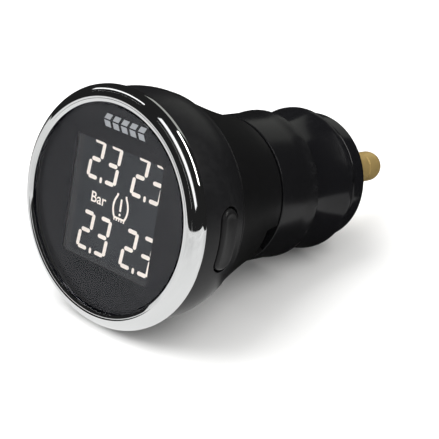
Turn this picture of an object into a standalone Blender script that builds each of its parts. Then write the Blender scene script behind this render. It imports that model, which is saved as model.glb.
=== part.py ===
"""Tyre pressure monitor that plugs into a 12 V vehicle socket.

Frame: metres, +Z up, the plug's axis along Y, the display facing -Y and the plug's pin pointing +Y.
The origin is on the axis, in the plane of the socket's mouth, where the neck meets the barrel.
A station is a distance along Y from that plane, so the head has negative stations.
"""

import math

import bmesh
import bpy
from mathutils import Matrix

# ---- driving dimensions, in metres ----
GAP = 0.0003                    # clearance between pieces that touch or sit in each other
SLIDE_GAP = 0.0003              # clearance round a piece that slides
CHAMFER = 0.0002                # small broken edges
OVERCUT = 0.0010                # how far a cutter runs past the wall it cuts
WALL = 0.0015                   # moulded walls of the neck and the plug

# overall lengths along the axis
NECK_LENGTH = 0.0125            # socket mouth forward to the casing's rear edge
CASING_DEPTH = 0.0084           # parallel part of the head, behind the bezel
BEZEL_DEPTH = 0.0018            # window plane back to the bezel's rear edge
BARREL_LENGTH = 0.0076
NOSE_CAP_LENGTH = 0.0184
PIN_REACH = 0.0085              # pin's tip beyond the nose cap

# overall diameters
WINDOW_DIAMETER = 0.0280        # visible part of the window
BEZEL_DIAMETER = 0.0325
CASING_DIAMETER = 0.0314        # widest, halfway back
CASING_REAR_DIAMETER = 0.0300
PLUG_DIAMETER = 0.0209
BARREL_REAR_DIAMETER = 0.0213   # slight flare at the barrel's rear edge

# bezel, window and mask
BEZEL_RISE = 0.0006             # crest in front of the window plane
BEZEL_CREST = 0.0007            # crest outside the lip's edge
BEZEL_SHOULDER = 0.0006         # from the window plane back to where the outer side runs straight
WINDOW_THICK = 0.0014
WINDOW_RISE = 0.00025           # visible part of the window, proud of its rim
WINDOW_LAP = 0.0003             # window hidden under the bezel's lip, all round
MASK_THICK = 0.0003
GASKET_THICK = 0.0004
GASKET_WIDTH = 0.0009

# casing
SPIGOT_WALL = 0.0005            # thin front ring of the casing, inside the bezel
SHELF_THICK = 0.0010            # ledge that the window stack rests on
CASING_WALL = 0.0008            # at the rear edge
CASING_ROUND = 0.0007           # rounded rear edge
CASING_TUCK = 0.0004            # how much narrower the casing starts, at the bezel

# display
DISPLAY_WIDTH = 0.0160          # opening in the mask
DISPLAY_HEIGHT = 0.0163
DISPLAY_LIFT = -0.0002          # opening's centre above the axis
DISPLAY_GAP = 0.0010            # mask's back to the display glass
LCD_MARGIN = 0.0010             # glass beyond the opening, each side
LCD_THICK = 0.0010
LCD_REST = 0.0004               # how far the glass overlaps the frame it rests on
LCD_PLAY = 0.0002                # room around the glass where it passes the shelf
LIGHT_GUIDE_THICK = 0.0031
LIGHT_GUIDE_SHORT = 0.0018      # room left above and below it for the lamp and the connector
LAMP_WIDTH = 0.0032

# circuit board
BOARD_THICK = 0.0010
BOARD_DIAMETER = 0.0266
SCREW_DIAMETER = 0.0010
SCREW_HEAD_DIAMETER = 0.0022
SCREW_HEAD_HEIGHT = 0.0007
PILOT_BLIND = 0.0008            # frame left in front of the screws' pilot holes
CHIP_SIZE = 0.0068
CHIP_THICK = 0.0010
RECEIVER_SIZE = 0.0040
RECEIVER_THICK = 0.0009
CRYSTAL_LENGTH = 0.0036
CRYSTAL_WIDTH = 0.0022
CAPACITOR_DIAMETER = 0.0050
CAPACITOR_HEIGHT = 0.0054
BUZZER_DIAMETER = 0.0084
BUZZER_HEIGHT = 0.0030
BUZZER_HOLE = 0.0020
COIL_LENGTH = 0.0068
COIL_DIAMETER = 0.0029
COIL_TURNS = 5
COIL_WIRE = 0.0005

# button and its switch
BUTTON_LENGTH = 0.0084
BUTTON_WIDTH = 0.0030
BUTTON_STATION = 0.0050         # its centre, behind the bezel's rear edge
BUTTON_PROUD = 0.0002
BUTTON_TRAVEL = 0.0005
BUTTON_ROUND = 0.0005
BUTTON_FLANGE = 0.0005          # retaining flange beyond the opening, each side
BUTTON_FLANGE_THICK = 0.0007
SWITCH_WIDTH = 0.0044
SWITCH_DEPTH = 0.0019
SWITCH_THICK = 0.0022
PLUNGER_DIAMETER = 0.0010
PLUNGER_SEAT = 0.0008           # length of plunger inside the switch at rest

# neck
NECK_FLARE = 0.0040             # how much wider the neck's radius is at the casing than at the socket
NECK_CURVE = 1.25               # exponent of that flare
LIP_THICK = 0.0009              # ring on the neck's front that closes the casing
NOTCH_LENGTH = 0.0028           # latch window in the neck's rear edge
NOTCH_START = -11.0             # degrees above the horizontal
NOTCH_END = -36.0
LATCH_SINK = 0.0011             # latch tab's face below the neck's surface

# barrel
SLEEVE_LENGTH = 0.0057          # part of the barrel inside the neck
SLEEVE_WALL = 0.0012
BARREL_FLARE_LENGTH = 0.0014    # of the slight flare at its rear
END_WALL = 0.0015
SPIGOT_LENGTH = 0.0048          # threaded end of the barrel
SPIGOT_DIAMETER = 0.0148

# nose cap
NOSE_WAIST_DIAMETER = 0.0184
NOSE_WAIST_LENGTH = 0.0012
NOSE_RIM_DIAMETER = 0.0209
NOSE_FLARE_CURVE = 1.7          # exponent of the flare from the waist to the rim
NOSE_RIM_SET_BACK = 0.0112      # rim's rear edge before the nose's end face
NOSE_RIM_ROUND = 0.0004
NOSE_GROOVE_DIAMETER = 0.0183
NOSE_GROOVE_OFFSET = 0.0011     # groove behind the rim
NOSE_GROOVE_WIDTH = 0.0006
NOSE_LIP_DIAMETER = 0.0187
NOSE_LIP_ROUND = 0.0006
NOSE_LIP_SET_BACK = 0.0067      # lip's rear edge before the nose's end face
NOSE_CONE_ANGLE = 50.0          # degrees between the cone and the axis
NOSE_BOSS_DIAMETER = 0.0080

# pin, washer and fuse
PIN_DIAMETER = 0.0046
PIN_TRAVEL = 0.0030
PIN_FLANGE_DIAMETER = 0.0084
PIN_FLANGE_THICK = 0.0015
PIN_CUP_DEPTH = 0.0017
WASHER_THICK = 0.0004
FUSE_LENGTH = 0.0200
FUSE_DIAMETER = 0.0052
FUSE_CAP_LENGTH = 0.0045
FUSE_CAP_WALL = 0.0002
FUSE_TUBE_WALL = 0.0005
FUSE_WIRE_DIAMETER = 0.0003
FUSE_PLAY = 0.0005              # between the fuse and its holder
HOLDER_WALL = 0.0008
HOLDER_FLANGE_THICK = 0.0013
HOLDER_FLANGE_PLAY = 0.0006
SPRING_LENGTH = 0.0056
SPRING_WIRE = 0.0006
SPRING_TURNS = 4
TERMINAL_THICK = 0.0012
TERMINAL_TAIL_LENGTH = 0.0016
TERMINAL_TAIL_DIAMETER = 0.0010
LEAD_DIAMETER = 0.0011

# side contact that touches the socket's wall
CONTACT_SET_BACK = 0.0009       # behind the barrel's front edge
CONTACT_LENGTH = 0.0058
CONTACT_WIDTH = 0.0044
CONTACT_THICK = 0.0004
CONTACT_PROUD = 0.0008
CONTACT_SINK = 0.0009           # its ends below the barrel's surface
CONTACT_CURVE = 0.8             # below 1 gives it a flatter crown
CONTACT_TRAVEL = 0.0008

LARGE_STEPS = 36
SMALL_STEPS = 16

# ---- stations that follow from them, front to back ----
neck_front = -NECK_LENGTH
casing_rear = neck_front - GAP
casing_front = casing_rear - CASING_DEPTH
bezel_rear = casing_front - GAP
window_front = casing_front - BEZEL_DEPTH
window_back = window_front + WINDOW_THICK
mask_front = window_back + GAP
mask_back = mask_front + MASK_THICK
gasket_front = mask_back + GAP
gasket_back = gasket_front + GASKET_THICK
shelf_front = gasket_back + GAP
shelf_back = shelf_front + SHELF_THICK
lcd_front = mask_back + DISPLAY_GAP
lcd_back = lcd_front + LCD_THICK
frame_front = max(shelf_back, lcd_back) + GAP
guide_front = lcd_back + GAP
guide_back = frame_front + LIGHT_GUIDE_THICK
board_front = guide_back + GAP
board_back = board_front + BOARD_THICK
parts_front = board_back + GAP
button_station = bezel_rear + BUTTON_STATION
switch_station = guide_back - SWITCH_THICK / 2

sleeve_front = -SLEEVE_LENGTH
barrel_front = GAP
barrel_rear = barrel_front + BARREL_LENGTH
contact_low = barrel_front + CONTACT_SET_BACK
contact_high = contact_low + CONTACT_LENGTH
spigot_rear = barrel_rear + SPIGOT_LENGTH
nose_front = barrel_rear + GAP
nose_rear = nose_front + NOSE_CAP_LENGTH
lip_rear = nose_rear - NOSE_LIP_SET_BACK
pin_tip = nose_rear + PIN_REACH

# ---- radii that follow ----
window_radius = WINDOW_DIAMETER / 2 + WINDOW_LAP
spigot_inner = window_radius + GAP
spigot_outer = spigot_inner + SPIGOT_WALL
shelf_bore = window_radius - GASKET_WIDTH
bezel_radius = BEZEL_DIAMETER / 2
casing_radius = CASING_DIAMETER / 2
casing_rear_radius = CASING_REAR_DIAMETER / 2
casing_bore = casing_rear_radius - CASING_WALL
plug_radius = PLUG_DIAMETER / 2
barrel_bore = plug_radius - WALL
sleeve_outer = barrel_bore - GAP
sleeve_inner = sleeve_outer - SLEEVE_WALL
spigot_radius = SPIGOT_DIAMETER / 2
fuse_radius = FUSE_DIAMETER / 2
holder_inner = fuse_radius + FUSE_PLAY
holder_outer = holder_inner + HOLDER_WALL
core_bore = holder_outer + GAP
pin_radius = PIN_DIAMETER / 2
pin_hole = pin_radius + SLIDE_GAP
flange_radius = PIN_FLANGE_DIAMETER / 2
chamber = flange_radius + SLIDE_GAP + CHAMFER / 2
boss_radius = NOSE_BOSS_DIAMETER / 2
lip_radius = NOSE_LIP_DIAMETER / 2
plunger_radius = PLUNGER_DIAMETER / 2
screw_radius = SCREW_DIAMETER / 2

# ---- the display's half sizes, and places across the axis ----
lcd_half_width = DISPLAY_WIDTH / 2 + LCD_MARGIN
lcd_half_height = DISPLAY_HEIGHT / 2 + LCD_MARGIN
opening_half_width = lcd_half_width - LCD_REST
opening_half_height = lcd_half_height - LCD_REST
screw_height = (opening_half_height + DISPLAY_LIFT + casing_bore) / 2
button_inner = casing_bore - GAP - BUTTON_FLANGE_THICK
plunger_end = button_inner - GAP
switch_outer = button_inner - BUTTON_TRAVEL - 2 * GAP
switch_inner = switch_outer - SWITCH_DEPTH

# ---- the nose's inside, worked forwards from its cone ----
cone_slope = math.tan(math.radians(NOSE_CONE_ANGLE))
cone_rear = lip_rear + CHAMFER + (lip_radius - CHAMFER - boss_radius) / cone_slope
shoulder = lip_rear + (lip_radius - chamber - WALL) / cone_slope
washer_rear = shoulder - GAP
washer_front = washer_rear - WASHER_THICK
flange_rear = washer_front - GAP
flange_front = flange_rear - PIN_FLANGE_THICK
cup_bottom = flange_front - GAP
cup_front = cup_bottom - PIN_CUP_DEPTH
fuse_rear = cup_bottom - GAP
fuse_front = fuse_rear - FUSE_LENGTH
spring_rear = fuse_front - GAP
spring_front = spring_rear - SPRING_LENGTH
terminal_rear = spring_front - GAP
terminal_front = terminal_rear - TERMINAL_THICK
tail_front = terminal_front - TERMINAL_TAIL_LENGTH
holder_front = terminal_front - GAP


def neck_radius(station):
    """Outside radius of the neck, which flares towards the casing."""
    share = max(-station, 0.0) / NECK_LENGTH
    return plug_radius + NECK_FLARE * share ** NECK_CURVE


for old in list(bpy.data.objects):
    bpy.data.objects.remove(old)

parts = bpy.data.collections.new("tyre_pressure_monitor")
cutters = bpy.data.collections.new("cutters")
bpy.context.scene.collection.children.link(parts)
bpy.context.scene.collection.children.link(cutters)


# ---- materials ----
def material(name, colour, roughness, metallic=0.0, alpha=1.0):
    made = bpy.data.materials.new(name)
    made.use_nodes = True
    shader = made.node_tree.nodes["Principled BSDF"]
    shader.inputs["Base Color"].default_value = (*colour, 1.0)
    shader.inputs["Roughness"].default_value = roughness
    shader.inputs["Metallic"].default_value = metallic
    shader.inputs["Alpha"].default_value = alpha
    return made


satin_black = material("satin_black", (0.018, 0.018, 0.020), 0.42)
gloss_black = material("gloss_black", (0.012, 0.012, 0.014), 0.18)
chrome = material("chrome", (0.78, 0.79, 0.80), 0.06, 1.0)
smoked_glass = material("smoked_glass", (0.10, 0.11, 0.13), 0.05, 0.0, 0.35)
mask_grey = material("mask_grey", (0.030, 0.032, 0.040), 0.45)
lcd_grey = material("lcd_grey", (0.075, 0.075, 0.085), 0.25)
diffuser_white = material("diffuser_white", (0.80, 0.80, 0.78), 0.5)
frame_white = material("frame_white", (0.60, 0.60, 0.58), 0.5)
rubber_black = material("rubber_black", (0.02, 0.02, 0.02), 0.8)
board_green = material("board_green", (0.02, 0.16, 0.06), 0.45)
chip_black = material("chip_black", (0.02, 0.02, 0.022), 0.5)
tin = material("tin", (0.62, 0.62, 0.60), 0.3, 1.0)
spring_steel = material("spring_steel", (0.55, 0.55, 0.56), 0.3, 1.0)
brass = material("brass", (0.78, 0.57, 0.27), 0.25, 1.0)
fuse_glass = material("fuse_glass", (0.80, 0.84, 0.84), 0.05, 0.0, 0.35)
fibre_red = material("fibre_red", (0.35, 0.06, 0.04), 0.7)
holder_nylon = material("holder_nylon", (0.55, 0.54, 0.48), 0.5)
lead_red = material("lead_red", (0.45, 0.02, 0.02), 0.45)
lead_black = material("lead_black", (0.02, 0.02, 0.02), 0.45)


# ---- modelling helpers ----
def add(name, mesh, finish):
    piece = bpy.data.objects.new(name, mesh)
    mesh.materials.append(finish)
    parts.objects.link(piece)
    return piece


def as_cutter(piece):
    for collection in list(piece.users_collection):
        collection.objects.unlink(piece)
    cutters.objects.link(piece)
    piece.hide_render = True
    piece.display_type = "WIRE"
    return piece


def cut(piece, tool, operation="DIFFERENCE"):
    change = piece.modifiers.new(tool.name, "BOOLEAN")
    change.operation = operation
    change.solver = "EXACT"
    change.object = as_cutter(tool)


def turned(name, outline, finish, steps=LARGE_STEPS, x=0.0, z=0.0, closed=True):
    """A piece turned about an axis along Y through (x, z).

    The outline is a list of (radius, station), running back along the outside. A closed one
    returns along the inside, and an open one starts and ends on the axis.
    """
    mesh = bpy.data.meshes.new(name)
    points = [(radius, 0.0, -station) for radius, station in outline]
    edges = [(i, i + 1) for i in range(len(points) - 1)]
    if closed:
        edges.append((len(points) - 1, 0))
    mesh.from_pydata(points, edges, [])
    piece = add(name, mesh, finish)
    piece.rotation_euler = (math.pi / 2, 0.0, 0.0)
    piece.location = (x, 0.0, z)
    screw = piece.modifiers.new("turn", "SCREW")
    screw.axis = "Z"
    screw.steps = steps
    screw.render_steps = steps
    screw.use_merge_vertices = True
    screw.merge_threshold = 0.000001
    screw.use_smooth_shade = True
    return piece


def cylinder(name, radius, low, high, finish, steps=LARGE_STEPS, x=0.0, z=0.0):
    """A plain solid cylinder between two stations."""
    outline = [(0.0, low), (radius, low), (radius, high), (0.0, high)]
    return turned(name, outline, finish, steps, x, z, closed=False)


def ring(name, inner, outer, low, high, finish, steps=LARGE_STEPS):
    """A plain ring about the axis between two stations."""
    return turned(name, [(outer, low), (outer, high), (inner, high), (inner, low)], finish, steps)


def block(name, low, high, finish, bevel=0.0):
    """A box between two corners, with its edges rounded if asked."""
    mesh = bpy.data.meshes.new(name)
    shape = bmesh.new()
    bmesh.ops.create_cube(shape, size=1.0)
    centre = [(a + b) / 2 for a, b in zip(low, high)]
    size = [b - a for a, b in zip(low, high)]
    bmesh.ops.scale(shape, vec=size, verts=shape.verts)
    shape.to_mesh(mesh)
    shape.free()
    piece = add(name, mesh, finish)
    piece.location = centre
    if bevel:
        rounding = piece.modifiers.new("edges", "BEVEL")
        rounding.width = bevel
        rounding.segments = 2
    return piece


def extruded(name, outline, move, finish):
    """A flat outline of 3D points swept along a vector."""
    mesh = bpy.data.meshes.new(name)
    shape = bmesh.new()
    face = shape.faces.new([shape.verts.new(point) for point in outline])
    swept = bmesh.ops.extrude_face_region(shape, geom=[face])
    moved = [v for v in swept["geom"] if isinstance(v, bmesh.types.BMVert)]
    bmesh.ops.translate(shape, vec=move, verts=moved)
    bmesh.ops.recalc_face_normals(shape, faces=shape.faces)
    shape.to_mesh(mesh)
    shape.free()
    return add(name, mesh, finish)


def slot_bar(name, x_low, x_high, length, width, station, finish, steps=8):
    """A bar along X with a slot-shaped section: flat sides, and round ends up and down."""
    radius = width / 2
    straight = length / 2 - radius
    outline = []
    for side in (1, -1):
        for i in range(steps + 1):
            angle = math.pi * i / steps
            y = side * radius * math.cos(angle)
            z = side * (straight + radius * math.sin(angle))
            outline.append((x_low, station + y, z))
    return extruded(name, outline, (x_high - x_low, 0.0, 0.0), finish)


def sector(name, inner, outer, low, high, start, end, finish, steps=6):
    """Part of a ring between two radii, two stations and two angles in degrees above +X."""
    angles = [math.radians(start + (end - start) * i / steps) for i in range(steps + 1)]
    outline = [(inner * math.cos(a), low, inner * math.sin(a)) for a in angles]
    outline += [(outer * math.cos(a), low, outer * math.sin(a)) for a in reversed(angles)]
    return extruded(name, outline, (0.0, high - low, 0.0), finish)


def rod_along_x(name, radius, x_low, x_high, station, finish):
    """A short round rod along X."""
    mesh = bpy.data.meshes.new(name)
    shape = bmesh.new()
    bmesh.ops.create_cone(shape, cap_ends=True, segments=SMALL_STEPS, radius1=radius, radius2=radius,
                          depth=x_high - x_low)
    bmesh.ops.rotate(shape, verts=shape.verts, matrix=Matrix.Rotation(math.pi / 2, 3, "Y"))
    shape.to_mesh(mesh)
    shape.free()
    piece = add(name, mesh, finish)
    piece.location = ((x_low + x_high) / 2, station, 0.0)
    return piece


def tube_along(name, route, diameter, finish):
    """A round wire or lead along a row of points."""
    data = bpy.data.curves.new(name, "CURVE")
    data.dimensions = "3D"
    data.bevel_depth = diameter / 2
    data.bevel_resolution = 2
    data.use_fill_caps = True
    line = data.splines.new("POLY")
    line.points.add(len(route) - 1)
    for point, place in zip(line.points, route):
        point.co = (*place, 1.0)
    piece = bpy.data.objects.new(name, data)
    data.materials.append(finish)
    parts.objects.link(piece)
    return piece


def smooth_route(points, per_span=4):
    """Points along a Catmull-Rom curve through the given points."""
    padded = [points[0], *points, points[-1]]
    route = []
    for k in range(1, len(padded) - 2):
        for i in range(per_span):
            route.append(curve_point(padded[k - 1:k + 3], i / per_span))
    route.append(points[-1])
    return route


def curve_point(four, t):
    """A point between the middle two of four points, on a Catmull-Rom curve."""
    return tuple(
        0.5 * (2 * q + (r - p) * t + (2 * p - 5 * q + 4 * r - s) * t * t
               + (3 * q - p - 3 * r + s) * t ** 3)
        for p, q, r, s in zip(*four)
    )


def helix(radius, low, high, turns, per_turn):
    """Points of a coil about an axis: (distance along it, and two across it)."""
    count = turns * per_turn
    found = []
    for i in range(count + 1):
        angle = 2 * math.pi * i / per_turn
        found.append((low + (high - low) * i / count, radius * math.cos(angle), radius * math.sin(angle)))
    return found


def arc(centre_r, centre_s, radius, start, end, count):
    """Points (radius, station) on an arc, with angles in degrees from the outward direction."""
    found = []
    for i in range(count + 1):
        angle = math.radians(start + (end - start) * i / count)
        found.append((centre_r + radius * math.cos(angle), centre_s + radius * math.sin(angle)))
    return found


# ---- head: bezel, window and display ----
def chrome_bezel():
    """A half-round ring whose front edge holds the window down."""
    lip = WINDOW_DIAMETER / 2
    crest = lip + BEZEL_CREST
    bore = spigot_outer + GAP
    window_side = window_front - GAP
    outline = [(lip, window_side - CHAMFER / 4)]
    rows = 8
    for i in range(rows + 1):
        angle = math.radians(90.0 * (1 - i / rows))
        radius = crest + (bezel_radius - crest) * math.cos(angle)
        station = window_front + BEZEL_SHOULDER - (BEZEL_RISE + BEZEL_SHOULDER) * math.sin(angle)
        outline.append((radius, station))
    outline += [(bezel_radius - CHAMFER / 2, bezel_rear - CHAMFER), (bezel_radius - CHAMFER, bezel_rear)]
    outline += [(bore, bezel_rear), (bore, window_side)]
    return turned("chrome_bezel", outline, chrome)


def window_lens():
    step = WINDOW_DIAMETER / 2 - GAP
    outline = [(0.0, window_front - WINDOW_RISE), (step - CHAMFER / 2, window_front - WINDOW_RISE)]
    outline += [(step, window_front - CHAMFER / 2), (step, window_front), (window_radius - CHAMFER, window_front)]
    outline += [(window_radius, window_front + CHAMFER), (window_radius, window_back), (0.0, window_back)]
    return turned("window_lens", outline, smoked_glass, closed=False)


def display_mask():
    mask = cylinder("display_mask", window_radius, mask_front, mask_back, mask_grey)
    low = (-DISPLAY_WIDTH / 2, mask_front - OVERCUT, DISPLAY_LIFT - DISPLAY_HEIGHT / 2)
    high = (DISPLAY_WIDTH / 2, mask_back + OVERCUT, DISPLAY_LIFT + DISPLAY_HEIGHT / 2)
    cut(mask, block("mask_opening", low, high, mask_grey))
    return mask


def lcd_pocket():
    """Room for the display glass and its clearance, open to the rear; it only bites under a small window."""
    side = lcd_half_width + LCD_PLAY
    height = lcd_half_height + LCD_PLAY
    low = (-side, lcd_front - GAP, DISPLAY_LIFT - height)
    high = (side, shelf_back + OVERCUT, DISPLAY_LIFT + height)
    return block("lcd_pocket", low, high, satin_black)


def window_gasket():
    gasket = ring("window_gasket", window_radius - GASKET_WIDTH, window_radius, gasket_front, gasket_back,
                  rubber_black)
    cut(gasket, lcd_pocket())
    return gasket


def lcd_frame():
    """A thick disc behind the shelf, open in the middle for the light guide and flat beside the switch."""
    outer = casing_bore - GAP
    frame = cylinder("lcd_frame", outer, frame_front, guide_back, frame_white)
    low = (-opening_half_width, frame_front - OVERCUT, DISPLAY_LIFT - opening_half_height)
    high = (opening_half_width, guide_back + OVERCUT, DISPLAY_LIFT + opening_half_height)
    cut(frame, block("frame_opening", low, high, frame_white))
    low = (switch_inner - GAP, frame_front - OVERCUT, -outer)
    high = (outer + OVERCUT, guide_back + OVERCUT, outer)
    cut(frame, block("frame_flat", low, high, frame_white))
    for z in (screw_height, -screw_height):
        cut(frame, cylinder("pilot_hole", screw_radius + GAP, frame_front + PILOT_BLIND,
                            guide_back + OVERCUT, frame_white, SMALL_STEPS, z=z))
    return frame


def lcd_stack():
    """The display glass, and behind it the light guide with its lamp above and the connector below."""
    low = (-lcd_half_width, lcd_front, DISPLAY_LIFT - lcd_half_height)
    high = (lcd_half_width, lcd_back, DISPLAY_LIFT + lcd_half_height)
    block("lcd_panel", low, high, lcd_grey)
    side = opening_half_width - GAP
    bottom = DISPLAY_LIFT - opening_half_height + GAP
    top = DISPLAY_LIFT + opening_half_height - GAP
    low = (-side, guide_front, bottom + LIGHT_GUIDE_SHORT)
    high = (side, guide_back, top - LIGHT_GUIDE_SHORT)
    block("light_guide", low, high, diffuser_white)
    low = (-side + GAP, guide_front, bottom)
    high = (side - GAP, guide_back, bottom + LIGHT_GUIDE_SHORT - GAP)
    block("zebra_connector", low, high, rubber_black)
    low = (-LAMP_WIDTH / 2, guide_front, top - LIGHT_GUIDE_SHORT + GAP)
    high = (LAMP_WIDTH / 2, guide_back, top)
    block("backlight_led", low, high, diffuser_white)


# ---- head: circuit board and what it carries ----
def main_board():
    radius = BOARD_DIAMETER / 2
    board = cylinder("main_board", radius, board_front, board_back, board_green)
    for z in (screw_height, -screw_height):
        cut(board, cylinder("board_hole", screw_radius + GAP, board_front - OVERCUT, board_back + OVERCUT,
                            board_green, SMALL_STEPS, z=z))
    low = (switch_outer, board_front - OVERCUT, -radius)
    high = (radius + OVERCUT, board_back + OVERCUT, radius)
    cut(board, block("board_flat", low, high, board_green))
    return board


def board_screw(name, z):
    head = SCREW_HEAD_DIAMETER / 2
    under = board_back + GAP
    top = under + SCREW_HEAD_HEIGHT
    tip = frame_front + PILOT_BLIND + GAP
    outline = [(0.0, tip), (screw_radius / 2, tip), (screw_radius, tip + screw_radius), (screw_radius, under)]
    outline += [(head, under), (head, top - CHAMFER), (head - CHAMFER, top), (0.0, top)]
    return turned(name, outline, tin, SMALL_STEPS, z=z, closed=False)


def chip(name, centre_x, centre_z, width, height, thick, finish):
    """A rounded package on the board's back."""
    low = (centre_x - width / 2, parts_front, centre_z - height / 2)
    high = (centre_x + width / 2, parts_front + thick, centre_z + height / 2)
    return block(name, low, high, finish, CHAMFER / 2)


def board_parts():
    chip("controller_chip", -0.0046, 0.0040, CHIP_SIZE, CHIP_SIZE, CHIP_THICK, chip_black)
    chip("receiver_chip", 0.0046, 0.0050, RECEIVER_SIZE, RECEIVER_SIZE, RECEIVER_THICK, chip_black)
    chip("crystal_can", 0.0046, 0.0013, CRYSTAL_LENGTH, CRYSTAL_WIDTH, CHIP_THICK, tin)
    filter_capacitor(-0.0056, -0.0050)
    alarm_buzzer(0.0049, -0.0049)


def filter_capacitor(x, z):
    """A can with the usual crimped ring near its foot."""
    radius = CAPACITOR_DIAMETER / 2
    crimp = parts_front + 4.5 * CHAMFER
    end = parts_front + CAPACITOR_HEIGHT
    outline = [(0.0, parts_front), (radius, parts_front), (radius, crimp - CHAMFER)]
    outline += [(radius - CHAMFER, crimp), (radius, crimp + CHAMFER), (radius, end - CHAMFER)]
    outline += [(radius - CHAMFER, end), (0.0, end)]
    return turned("filter_capacitor", outline, tin, SMALL_STEPS, x, z, closed=False)


def alarm_buzzer(x, z):
    """A round sounder with a blind hole in its end."""
    radius = BUZZER_DIAMETER / 2
    hole = BUZZER_HOLE / 2
    end = parts_front + BUZZER_HEIGHT
    outline = [(0.0, parts_front), (radius, parts_front), (radius, end - CHAMFER), (radius - CHAMFER, end)]
    outline += [(hole, end), (hole, end - 3 * CHAMFER), (0.0, end - 3 * CHAMFER)]
    return turned("alarm_buzzer", outline, chip_black, 2 * SMALL_STEPS, x, z, closed=False)


def antenna_coil():
    station = parts_front + COIL_DIAMETER / 2 + 3 * GAP
    height = 0.0094
    radius = (COIL_DIAMETER - COIL_WIRE) / 2
    coil = helix(radius, -COIL_LENGTH / 2, COIL_LENGTH / 2, COIL_TURNS, 9)
    route = [(along, station + across, height + up) for along, up, across in coil]
    return tube_along("antenna_coil", route, COIL_WIRE, brass)


def side_switch():
    """The switch under the button, with its plunger in a bore."""
    low = (switch_inner, guide_back - SWITCH_THICK, -SWITCH_WIDTH / 2)
    high = (switch_outer, guide_back, SWITCH_WIDTH / 2)
    body = block("side_switch", low, high, chip_black, CHAMFER / 2)
    bore_bottom = switch_outer - PLUNGER_SEAT - BUTTON_TRAVEL - CHAMFER / 2
    cut(body, rod_along_x("plunger_bore", plunger_radius + SLIDE_GAP, bore_bottom, switch_outer + OVERCUT,
                          switch_station, chip_black))
    rod_along_x("switch_plunger", plunger_radius, switch_outer - PLUNGER_SEAT, plunger_end,
                switch_station, holder_nylon)


# ---- head: casing, button and neck ----
def casing_outline(rows=6, round_rows=3):
    """Outside of the casing: a shallow barrel with a rounded rear edge."""
    found = []
    for i in range(rows + 1):
        share = i / rows
        behind = max(share * 2 - 1, 0.0)
        before = max(1 - share * 2, 0.0)
        radius = casing_radius - (casing_radius - casing_rear_radius) * behind ** 2
        radius -= CASING_TUCK * before ** 2
        found.append((radius, casing_front + (CASING_DEPTH - CASING_ROUND) * share))
    centre = casing_rear_radius - CASING_ROUND
    found += arc(centre, casing_rear - CASING_ROUND, CASING_ROUND, 0, 90, round_rows)[1:]
    return found


def head_casing():
    outline = [(spigot_inner, window_front), (spigot_outer, window_front), (spigot_outer, casing_front)]
    outline += casing_outline()
    outline += [(casing_bore, casing_rear), (casing_bore, shelf_back)]
    outline += [(shelf_bore, shelf_back), (shelf_bore, shelf_front), (spigot_inner, shelf_front)]
    casing = turned("head_casing", outline, satin_black)
    cut(casing, lcd_pocket())
    cut(casing, slot_bar("button_hole", casing_bore - 4 * OVERCUT, casing_radius + 2 * OVERCUT,
                         BUTTON_LENGTH + 2 * SLIDE_GAP, BUTTON_WIDTH + 2 * SLIDE_GAP, button_station,
                         satin_black))
    return casing


def side_button():
    """An oblong cap whose outer face follows the casing, with a curved flange that keeps it in."""
    outer = casing_radius + BUTTON_PROUD
    straight = outer - BUTTON_ROUND
    half = BUTTON_WIDTH / 2
    low = button_station - half
    high = button_station + half
    face = [(button_inner, low - OVERCUT), (straight, low - OVERCUT), (straight, low)]
    face += arc(straight, low + BUTTON_ROUND, BUTTON_ROUND, -90, 0, 3)
    face += arc(straight, high - BUTTON_ROUND, BUTTON_ROUND, 0, 90, 3)
    face += [(straight, high + OVERCUT), (button_inner, high + OVERCUT)]
    fine_steps = 128
    skin = turned("button_skin", face, satin_black, fine_steps)
    start = button_inner - BUTTON_ROUND * 3
    cap = slot_bar("side_button", start, outer + OVERCUT, BUTTON_LENGTH, BUTTON_WIDTH, button_station,
                   satin_black)
    cut(cap, skin, "INTERSECT")

    flange_outer = casing_bore - GAP
    half += BUTTON_FLANGE
    flange_ring = ring("flange_ring", button_inner, flange_outer, button_station - half,
                       button_station + half, satin_black, fine_steps)
    flange = slot_bar("flange_bar", start, flange_outer + OVERCUT, BUTTON_LENGTH + 2 * BUTTON_FLANGE,
                      BUTTON_WIDTH + 2 * BUTTON_FLANGE, button_station, satin_black)
    cut(flange, flange_ring, "INTERSECT")
    cut(cap, flange, "UNION")
    return cap


def rear_cover():
    """The trumpet-shaped neck, with a rim that closes the casing and a latch window at its rear edge."""
    outline = [(neck_radius(neck_front) - CHAMFER, neck_front)]
    rows = 7
    for i in range(rows + 1):
        station = neck_front + CHAMFER + (NECK_LENGTH - 2 * CHAMFER) * i / rows
        outline.append((neck_radius(station), station))
    bore = sleeve_outer + GAP
    step = sleeve_front - GAP
    outline += [(plug_radius - CHAMFER, 0.0), (bore, 0.0), (bore, step)]
    inner_front = neck_front + WALL
    inner_rows = 3
    for i in range(inner_rows + 1):
        station = step - CHAMFER + (inner_front - step + CHAMFER) * i / inner_rows
        outline.append((max(neck_radius(station) - WALL, bore), station))
    lip_outer = casing_bore - GAP
    lip_inner = lip_outer - LIP_THICK
    outline += [(lip_inner, neck_front + WALL / 2), (lip_inner, parts_front), (lip_outer, parts_front)]
    outline += [(lip_outer, neck_front)]
    cover = turned("rear_cover", outline, satin_black)
    cut(cover, sector("latch_window", bore - OVERCUT, plug_radius + 3 * OVERCUT, -NOTCH_LENGTH, 2 * OVERCUT,
                      NOTCH_START, NOTCH_END, satin_black))
    return cover


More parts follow.
